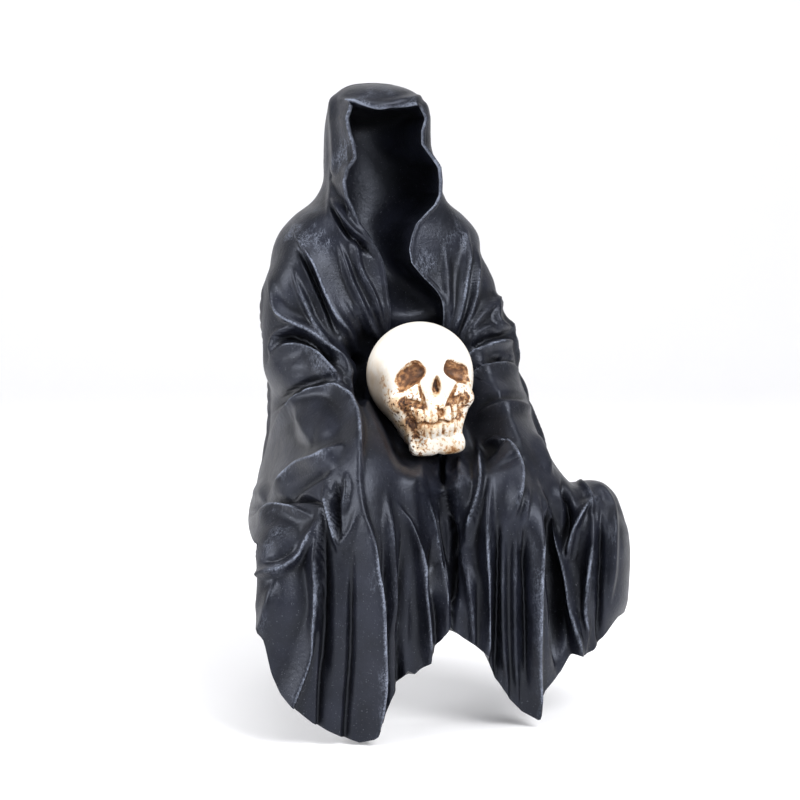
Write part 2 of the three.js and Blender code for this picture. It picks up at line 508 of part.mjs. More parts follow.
// Folds of one side, seen straight from it: each falls from the shoulder and bows out behind
function sideFolds(towardFront) {
  return [0, 1, 2].map((k) => {
    const top = 4 - 6 * k;
    const foot = 7 - 9 * k;
    const path = [[top, 51], [top - 2.5, 36], [foot - 2, 18], [foot, -4]];
    return [path.map(([right, up]) => [towardFront * right, up]), 2.2 - 0.3 * k, 2.6, 2.2];
  });
}

// Presses the figure on the shelf: flat under the seat and flat against the shelf's front, with a
// row of points along the shelf's edge. Down each column the cloth lies on the shelf, then hangs.
function seat(grid) {
  for (let c = 0; c < grid[0].length; c++) {
    let hangs = false;
    for (let r = 0; r < grid.length; r++) {
      const p = grid[r][c];
      const below = p.z < 0 && (hangs || -p.z > p.y - SHELF_EDGE_Y);
      if (below && !hangs && r > 0) grid[r - 1][c].y = Math.min(grid[r - 1][c].y, SHELF_EDGE_Y);
      hangs = hangs || below;
      if (below) p.y = Math.min(p.y, SHELF_EDGE_Y);
      else p.z = Math.max(p.z, 0);
    }
  }
}

// A closed mesh from the grid: a fan at the crown, quads, and a strip across the hem that pairs
// each front column with the back column behind it
function robeGeometry(grid) {
  const cols = grid[0].length;
  const crown = grid[0].reduce((sum, p) => sum.add(p), new THREE.Vector3()).divideScalar(cols);
  crown.z = Math.max(...grid[0].map((p) => p.z)) + 0.05;
  const positions = [crown, ...grid.flat()].flatMap((p) => [p.x, p.y, p.z]);
  const id = (r, c) => 1 + r * cols + ((c + cols) % cols);
  const index = [];
  for (let c = 0; c < cols; c++) {
    index.push(0, id(0, c), id(0, c + 1));
    for (let r = 0; r < grid.length - 1; r++) {
      pushQuad(index, positions, id(r, c), id(r + 1, c), id(r + 1, c + 1), id(r, c + 1));
    }
  }
  const last = grid.length - 1;
  const behind = (c) => -Math.round((c * BACK_COLUMNS) / FRONT_COLUMNS);
  for (let c = 0; c < FRONT_COLUMNS; c++) {
    if (c > 0) index.push(id(last, c), id(last, behind(c)), id(last, c + 1));
    const joined = c === 0 ? id(last, 0) : id(last, behind(c));
    if (behind(c) !== behind(c + 1)) index.push(id(last, c + 1), joined, id(last, behind(c + 1)));
  }
  return closedGeometry(positions, index);
}

// Two triangles on four corners, split along the shorter diagonal
function pushQuad(index, positions, a, b, c, d) {
  const apart = (i, j) => Math.hypot(...[0, 1, 2].map((k) => positions[3 * i + k] - positions[3 * j + k]));
  if (apart(a, c) <= apart(b, d)) index.push(a, b, c, a, c, d);
  else index.push(a, b, d, b, c, d);
}

function closedGeometry(positions, index) {
  const kept = [];
  for (let i = 0; i < index.length; i += 3) {
    const [a, b, c] = index.slice(i, i + 3);
    if (a !== b && b !== c && a !== c) kept.push(a, b, c);
  }
  const geometry = new THREE.BufferGeometry();
  geometry.setAttribute('position', new THREE.Float32BufferAttribute(positions, 3));
  geometry.setIndex(kept);
  geometry.computeVertexNormals();
  return geometry;
}

// The skull is made of solid lumps, joined and carved softly, about its own centre, with its face
// towards -Y. Each lump may be tilted in the plane of the face.
function lump(p, centre, radii, power = 2, tilt = 0) {
  const [x, y, z] = p.map((v, k) => v - centre[k]);
  const c = Math.cos(radians(tilt));
  const s = Math.sin(radians(tilt));
  const turned = [x * c + z * s, y, z * c - x * s];
  const sum = turned.reduce((total, v, k) => total + Math.abs(v / radii[k]) ** power, 0);
  return (sum ** (1 / power) - 1) * Math.min(...radii);
}

function join(fields, soft) {
  return -soft * Math.log(fields.reduce((s, f) => s + Math.exp(-f / soft), 0));
}

function carve(body, tool, soft) {
  return soft * Math.log(Math.exp(body / soft) + Math.exp(-tool / soft));
}

// Braincase, face, cheekbones and a jaw that narrows downwards, without their hollows
function skullEnvelope(p) {
  const half = [Math.abs(p[0]), p[1], p[2]];
  const narrowed = p[0] * (1 + 0.045 * Math.min(Math.max(-4 - p[2], 0), 8));
  return join([
    lump(p, [0, 1.5, 2.6], [10.3, 12.3, 10.3]),
    lump(p, [0, -3, -2], [7.4, 8, 6.5], 2.3),
    lump([narrowed, p[1], p[2]], [0, -3.4, -4.8], [6.4, 7.3, 6.5], 4),
    lump(half, [6, -6.4, -1.3], [2.3, 3.6, 1.9]),
  ], 0.5);
}

function skullField(p) {
  const half = [Math.abs(p[0]), p[1], p[2]];
  let f = join([
    skullEnvelope(p),
    lump(p, [0, -9.6, -4], [4, 2.2, 3.4], 3),
    lump(p, [0, -10, 3], [1.2, 2.5, 3.2]),
    lump(half, [2.4, -9.3, -9.6], [3, 1.7, 1.9], 3),
  ], 0.35);
  f = carve(f, lump(p, [-5.3, -10.4, 3.6], [4.1, 3.2, 1.95], 3.2, 33), 0.25);
  f = carve(f, lump(p, [6.4, -9.8, 3.3], [4.7, 3.8, 1.8], 3, -25), 0.25);
  f = carve(f, lump(half, [2.7, -11.6, 1.5], [0.6, 1.4, 3], 2.2, 10), 0.3);
  const noseX = p[0] * (1 + 0.38 * Math.min(Math.max(p[2] - 2, -0.8), 2.4));
  f = carve(f, lump([noseX, p[1], p[2]], [0, -12.3, 2], [1.1, 2.6, 2], 2.4), 0.2);
  f = carve(f, lump(p, [-11.2, -6.6, 2.4], [2.4, 3.4, 4.4]), 0.5);
  f = carve(f, lump(p, [11.6, -6.2, 2.6], [1.8, 3.4, 4.4]), 0.7);
  f = carve(f, lump(p, [-4.9, -10.4, -5.2], [1.1, 2.1, 4.2], 2.2, 19), 0.35);
  return carve(f, lump(p, [5, -10.2, -3.4], [1, 1.5, 2.2], 2.2, -19), 0.4);
}

// Distance from the skull's centre to its surface along a direction, by halving
function reach(direction, field) {
  let near = 0;
  let far = 22;
  for (let i = 0; i < 22; i++) {
    const middle = (near + far) / 2;
    if (field(direction.map((v) => v * middle)) < 0) near = middle;
    else far = middle;
  }
  return (near + far) / 2;
}

const skullTurn = new THREE.Matrix4().makeRotationZ(radians(SKULL_TURN))
  .multiply(new THREE.Matrix4().makeRotationY(radians(SKULL_LEAN)));

// Moves the robe out of the skull's envelope, straight away from the skull's centre
function clearSkull(grid) {
  const toSkull = skullTurn.clone().invert();
  for (const p of grid.flat()) {
    const q = p.clone().sub(SKULL_AT).applyMatrix4(toSkull);
    const r = q.length();
    if (r < 20) {
      const d = q.clone().divideScalar(r);
      const need = reach(d.toArray(), skullEnvelope) + LAP_GAP;
      if (r < need) p.copy(d.multiplyScalar(need).applyMatrix4(skullTurn).add(SKULL_AT));
    }
  }
}

// Rings about the skull's facing axis, closer together on the face. Swollen, it is the tool that
// cuts the skull's place out of the robe.
function skullGeometry(swell = 0) {
  const directions = [[0, -1, 0], [0, 1, 0]];
  const rings = SKULL_RINGS - 1;
  for (let i = 1; i <= rings; i++) {
    const u = i / SKULL_RINGS;
    const polar = Math.PI * (0.55 * u + 0.45 * u ** 3);
    for (let j = 0; j < SKULL_COLUMNS; j++) {
      const turn = (2 * Math.PI * j) / SKULL_COLUMNS;
      directions.push([Math.sin(polar) * Math.cos(turn), -Math.cos(polar), Math.sin(polar) * Math.sin(turn)]);
    }
  }
  const positions = directions.flatMap((d) => d.map((v) => v * (reach(d, skullField) + swell)));
  const id = (i, j) => 2 + i * SKULL_COLUMNS + (j % SKULL_COLUMNS);
  const index = [];
  for (let j = 0; j < SKULL_COLUMNS; j++) {
    index.push(0, id(0, j), id(0, j + 1));
    index.push(1, id(rings - 1, j + 1), id(rings - 1, j));
    for (let i = 0; i < rings - 1; i++) {
      pushQuad(index, positions, id(i, j), id(i + 1, j), id(i + 1, j + 1), id(i, j + 1));
    }
  }
  return closedGeometry(positions, index);
}

// The robe less the swollen skull
async function cutForSkull(robe) {
  const wasm = await Module();
  wasm.setup();
  const solid = (geometry) => new wasm.Manifold(new wasm.Mesh({
    numProp: 3,
    vertProperties: new Float32Array(geometry.getAttribute('position').array),
    triVerts: new Uint32Array(geometry.getIndex().array),
  }));
  const place = new THREE.Matrix4().makeTranslation(SKULL_AT).multiply(skullTurn);
  const tool = solid(skullGeometry(SKULL_GAP).applyMatrix4(place));
  const pieces = solid(robe).subtract(tool).decompose();
  const body = pieces.reduce((a, b) => (a.volume() > b.volume() ? a : b)).getMesh();
  return closedGeometry(Array.from(body.vertProperties), Array.from(body.triVerts));
}

// Robe
async function makeRobe() {
  const stations = rowStations();
  const rings = stations.map(ring);
  const grid = rings.map((r) => r.points);
  const opens = rings.map((r) => r.open);
  hang(grid, stations);
  lapHollow(grid);
  ledge(grid);
  raise(grid, opens, MASSES);
  raise(grid, opens, FOLDS);
  raise(grid, opens, backFolds(), 180, 0);
  raise(grid, opens, sideFolds(1), -100, 0);
  raise(grid, opens, sideFolds(-1), 80, 0);
  clearSkull(grid);
  seat(grid);
  const material = new THREE.MeshStandardMaterial({ color: 0x1a1b20, roughness: 0.5, metalness: 0 });
  const mesh = new THREE.Mesh(await cutForSkull(robeGeometry(grid)), material);
  mesh.name = 'robe';
  return mesh;
}

// Skull
function makeSkull() {
  const material = new THREE.MeshStandardMaterial({ color: 0xe6dcc8, roughness: 0.6, metalness: 0 });
  const mesh = new THREE.Mesh(skullGeometry(), material);
  mesh.name = 'skull';
  mesh.position.copy(SKULL_AT);
  mesh.rotation.setFromRotationMatrix(skullTurn);
  return mesh;
}

const reaper = new THREE.Group();
reaper.add(await makeRobe(), makeSkull());

export default reaper;
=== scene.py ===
"""Grim reaper shelf sitter: a hooded empty robe with a skull in its lap.

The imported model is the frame. A finely folded robe stands for its robe, and a finely cut skull for its
skull. Sizes are millimetres until a mesh is made. X points to the figure's left, Y to its back and Z up,
and the origin is on the flat underside of the seat.
"""

import bpy
import numpy as np
from mathutils import Matrix, Vector


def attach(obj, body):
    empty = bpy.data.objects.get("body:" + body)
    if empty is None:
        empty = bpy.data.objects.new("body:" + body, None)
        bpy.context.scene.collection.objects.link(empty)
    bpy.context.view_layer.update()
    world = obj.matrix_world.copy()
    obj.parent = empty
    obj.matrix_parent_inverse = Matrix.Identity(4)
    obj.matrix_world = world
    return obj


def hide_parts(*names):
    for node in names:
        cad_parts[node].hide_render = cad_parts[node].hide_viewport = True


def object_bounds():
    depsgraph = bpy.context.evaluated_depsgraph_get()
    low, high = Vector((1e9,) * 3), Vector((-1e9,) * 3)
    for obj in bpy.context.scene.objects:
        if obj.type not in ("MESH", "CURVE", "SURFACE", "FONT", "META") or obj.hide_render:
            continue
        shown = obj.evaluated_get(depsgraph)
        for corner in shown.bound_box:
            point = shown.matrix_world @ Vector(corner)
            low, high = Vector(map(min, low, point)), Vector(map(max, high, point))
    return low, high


MM = 0.001

# the shelf's front edge, the hanging cloth's plain front, and the slice from which the robe hangs
SHELF_EDGE_Y = -22.0
HANG_FRONT_Y = -34.0
HANG_START = 19.5

# the three-quarter front view on which the folds are laid out, in degrees and millimetres: its turn, tilt
# and distance, where its middle lies to the right of and above the origin, and the height that its middle
# has among the folds' points
VIEW_TURN, VIEW_TILT, VIEW_DISTANCE = -22.0, 7.0, 460.0
VIEW_RIGHT, VIEW_UP, VIEW_LIFT = -0.8, 22.4, 20.0
LENS, SENSOR = 103.5, 36.0

# rows, and columns on the front and on the back, of the robe's grid, and the share of the front's columns
# that lies on each side of the opening; then the skull's grid
ROBE_ROWS, ROBE_FRONT, ROBE_BACK = 285, 240, 98
SIDE_SHARE = 0.31
SKULL_RINGS, SKULL_AROUND = 190, 260

# how the rows are spread: where slices are read, what a millimetre of the front's, the back's and the side's
# outline counts for, what the hanging rows get in addition, and how many angles measure half a ring
TRACK_POINTS, RING_ANGLES = 1500, 121
FRONT_PULL, BACK_PULL, SIDE_PULL, HANG_PULL = 0.6, 0.25, 0.5, 18.0

# the robe's slices from the crown to the hem: front y, z, back y, z, right side x, left side x, and
# squareness in front and behind
STATIONS = np.array([
    (11.5, 85.2, 12.5, 85.2, -2.4, -1.4, 2.0, 2.0),
    (8.0, 84.9, 16.0, 84.7, -6.2, 2.6, 2.0, 2.0),
    (4.0, 84.0, 19.5, 83.2, -8.8, 5.4, 2.2, 2.0),
    (1.2, 82.4, 22.0, 80.6, -10.4, 7.0, 2.6, 2.0),
    (0.6, 80.9, 23.2, 77.5, -11.0, 7.8, 3.0, 2.0),
    (0.8, 77.5, 24.2, 74.0, -11.2, 8.2, 3.2, 2.0),
    (1.2, 71.0, 24.8, 69.0, -11.2, 8.6, 3.2, 2.0),
    (1.2, 66.0, 24.8, 65.0, -11.4, 9.2, 3.0, 2.0),
    (0.6, 62.0, 25.0, 61.5, -13.6, 12.0, 2.6, 2.1),
    (-0.2, 58.5, 25.4, 58.5, -18.0, 16.8, 2.5, 2.2),
    (-1.0, 54.5, 25.8, 54.5, -21.4, 20.0, 2.5, 2.3),
    (-1.5, 49.0, 26.0, 49.0, -22.8, 20.4, 2.5, 2.4),
    (-2.5, 42.0, 26.0, 41.0, -22.8, 21.6, 2.5, 2.4),
    (-5.5, 35.5, 26.0, 32.0, -23.2, 24.0, 2.5, 2.5),
    (-11.0, 30.5, 26.5, 22.0, -23.6, 25.4, 2.5, 2.6),
    (-18.0, 26.5, 27.0, 12.0, -24.2, 25.2, 2.6, 2.8),
    (-25.0, 22.0, 27.0, 3.0, -26.4, 24.6, 2.6, 3.2),
    (-29.5, 17.0, 23.0, -3.0, -29.6, 25.6, 2.7, 3.6),
    (-32.0, 11.0, 10.0, -4.0, -33.0, 28.0, 2.8, 4.0),
    (-33.0, 5.5, -4.0, -4.0, -35.4, 34.2, 2.8, 4.0),
    (-33.5, 0.5, -14.0, -4.0, -36.8, 35.2, 2.9, 4.0),
    (-34.0, -4.5, -20.0, -7.0, -37.8, 35.4, 3.0, 4.0),
    (-34.0, -10.0, -22.0, -11.0, -38.8, 34.8, 3.0, 4.0),
    (-34.0, -16.0, -22.0, -16.0, -39.4, 34.4, 3.0, 4.0),
])

# the hood's opening and the open collar below it: height, right edge x, left edge x, their y, depth
OPENING = np.array([
    (82.0, -10.6, 3.6, 1.0, 0.0),
    (80.4, -11.0, 4.6, 1.0, 15.0),
    (78.8, -11.6, 5.2, 1.0, 17.0),
    (75.9, -11.0, 4.4, 1.0, 18.0),
    (73.3, -10.1, 4.4, 1.0, 18.0),
    (70.6, -9.9, 6.6, 1.0, 18.0),
    (68.9, -11.4, 8.0, 1.0, 17.5),
    (66.0, -12.2, 8.3, 1.0, 17.0),
    (63.0, -11.8, 8.0, 0.6, 16.0),
    (61.0, -11.0, 6.8, 0.2, 15.5),
    (57.4, -9.7, 2.7, -0.4, 14.5),
    (55.0, -8.1, 1.5, -1.0, 13.5),
    (52.6, -6.4, 0.8, -1.4, 12.5),
    (50.0, -5.3, 1.2, -1.6, 11.5),
    (47.4, -4.9, 3.4, -1.8, 10.5),
    (45.0, -4.7, 5.8, -2.2, 9.5),
    (42.4, -4.5, 7.8, -2.6, 8.5),
    (37.4, -3.9, 8.8, -5.0, 6.5),
    (32.0, -4.5, 8.0, -9.0, 3.0),
    (26.0, -5.0, 6.0, -18.0, 0.0),
    (-60.0, -5.0, 4.0, -33.0, 0.0),
])[::-1]

# a pocket this deep is fully open; the opening's edges stay within this share of the half width; on the
# sides, columns follow the edges from this share on; the pocket's swell and the power of its sine; and the
# slices between which the crowded columns spread evenly again
OPEN_DEPTH, EDGE_LIMIT, EDGE_PULL = 6.0, 0.93, 0.35
POCKET_SWELL, POCKET_POWER = 0.12, 0.7
EVEN_FROM, EVEN_TO = 11.5, 17.0

# the torn hem: x and height
HEM = np.array([
    (-42.0, -14.0), (-41.0, -19.0), (-39.8, -23.6), (-38.1, -26.8), (-35.3, -29.6), (-32.0, -32.2),
    (-29.0, -33.8), (-26.1, -35.2), (-22.8, -36.3), (-20.6, -35.5), (-17.8, -33.0), (-16.4, -29.0),
    (-14.2, -25.3), (-13.0, -23.6), (-11.6, -24.4), (-8.8, -22.0), (-6.3, -18.5), (-4.6, -16.0),
    (-2.4, -17.9), (0.8, -20.2), (3.0, -22.5), (4.6, -26.1), (7.6, -30.8), (10.3, -33.6),
    (13.0, -35.2), (14.0, -33.1), (15.1, -30.0), (18.5, -26.8), (20.7, -23.5), (23.0, -24.3),
    (25.7, -23.6), (28.3, -20.6), (30.1, -17.8), (32.4, -17.8), (35.1, -17.2), (37.1, -15.2),
    (39.0, -11.0),
])

# how far the hem's points shift along the line of sight, as a share of the view's slant, and rise, for each
# millimetre behind the front
HEM_SLANT, HEM_RISE = 0.9, 0.25

# the lap's hollow for the skull: its middle x, half width with the soft part of it, rear y with its soft
# part, the heights between which it begins and ends, and how far the cloth goes back and down; then the lift
# of the cloth that lies on the shelf
LAP_X, LAP_HALF, LAP_SOFT = -1.0, 14.5, 7.0
LAP_REAR, LAP_REAR_SOFT = 4.0, 5.0
LAP_FROM, LAP_TO = (11.0, 19.0), (33.0, 42.0)
LAP_BACK, LAP_DOWN = 9.5, 3.5
LYING_LIFT = 4.0

# Forms and folds lie on the front view: a path of (right, up) points, then the height, and the width on
# the right hand and on the left hand of someone who walks along the path. Downwards, that is the side
# nearer the figure's right arm first. Minus heights are grooves.
MASSES = [
    # the valley between the legs, up to the hollow under the chin
    ([(6.0, 11.5), (8.2, 8.0), (9.4, 0.0), (10.4, -10.6), (10.8, -23.0)], -5.5, 7.0, 6.0),
    ([(0.0, 11.2), (6.0, 10.4), (13.0, 11.2)], -1.6, 1.6, 2.0),
    # knee and shin of the right leg
    ([(-12.0, 24.0), (-10.5, 12.0), (-8.0, -4.0), (-6.5, -22.0), (-6.4, -44.0)], 4.0, 13.0, 10.0),
    # the left leg
    ([(19.0, 12.0), (23.0, -4.0), (26.5, -20.0), (27.4, -42.0)], 4.0, 10.0, 8.0),
    # between the left leg and the cloth on the shelf
    ([(30.0, 6.0), (31.5, -6.0), (32.5, -20.0), (31.0, -34.0)], -4.0, 5.0, 5.0),
    # the cloth that hangs beside the left leg
    ([(38.0, 1.0), (41.0, -10.0), (40.0, -28.0)], 3.0, 6.0, 6.0),
    # the bag of cloth beside the right leg
    ([(-28.0, 2.0), (-27.0, -10.0), (-24.0, -30.0)], 2.0, 6.0, 8.0),
    # the right arm, its elbow and its broad sleeve over the knee
    ([(-20.0, 52.0), (-24.0, 38.0), (-25.0, 28.0), (-14.0, 22.0)], 2.5, 7.0, 7.0),
    ([(-24.0, 26.5), (-17.0, 26.0), (-11.0, 22.5)], 1.8, 3.5, 4.0),
    # the left arm
    ([(12.0, 52.0), (19.0, 38.0), (24.0, 28.0), (19.0, 22.0)], 2.5, 7.0, 7.0),
    # the dark gap between the right sleeve and the skull
    ([(-9.6, 30.0), (-8.2, 26.0), (-7.8, 18.0)], -2.6, 1.6, 2.4),
    # the right knee under its cloth
    ([(-21.0, 12.5), (-15.0, 14.0), (-12.0, 9.0)], 2.8, 6.0, 7.0),
    # the left knee
    ([(19.5, 9.5), (21.5, 6.0)], 1.8, 5.0, 5.0),
    # the bulge of the right side above the shelf, and the step under it
    ([(-30.0, 1.5), (-26.0, 1.5)], 1.6, 3.0, 3.5),
]

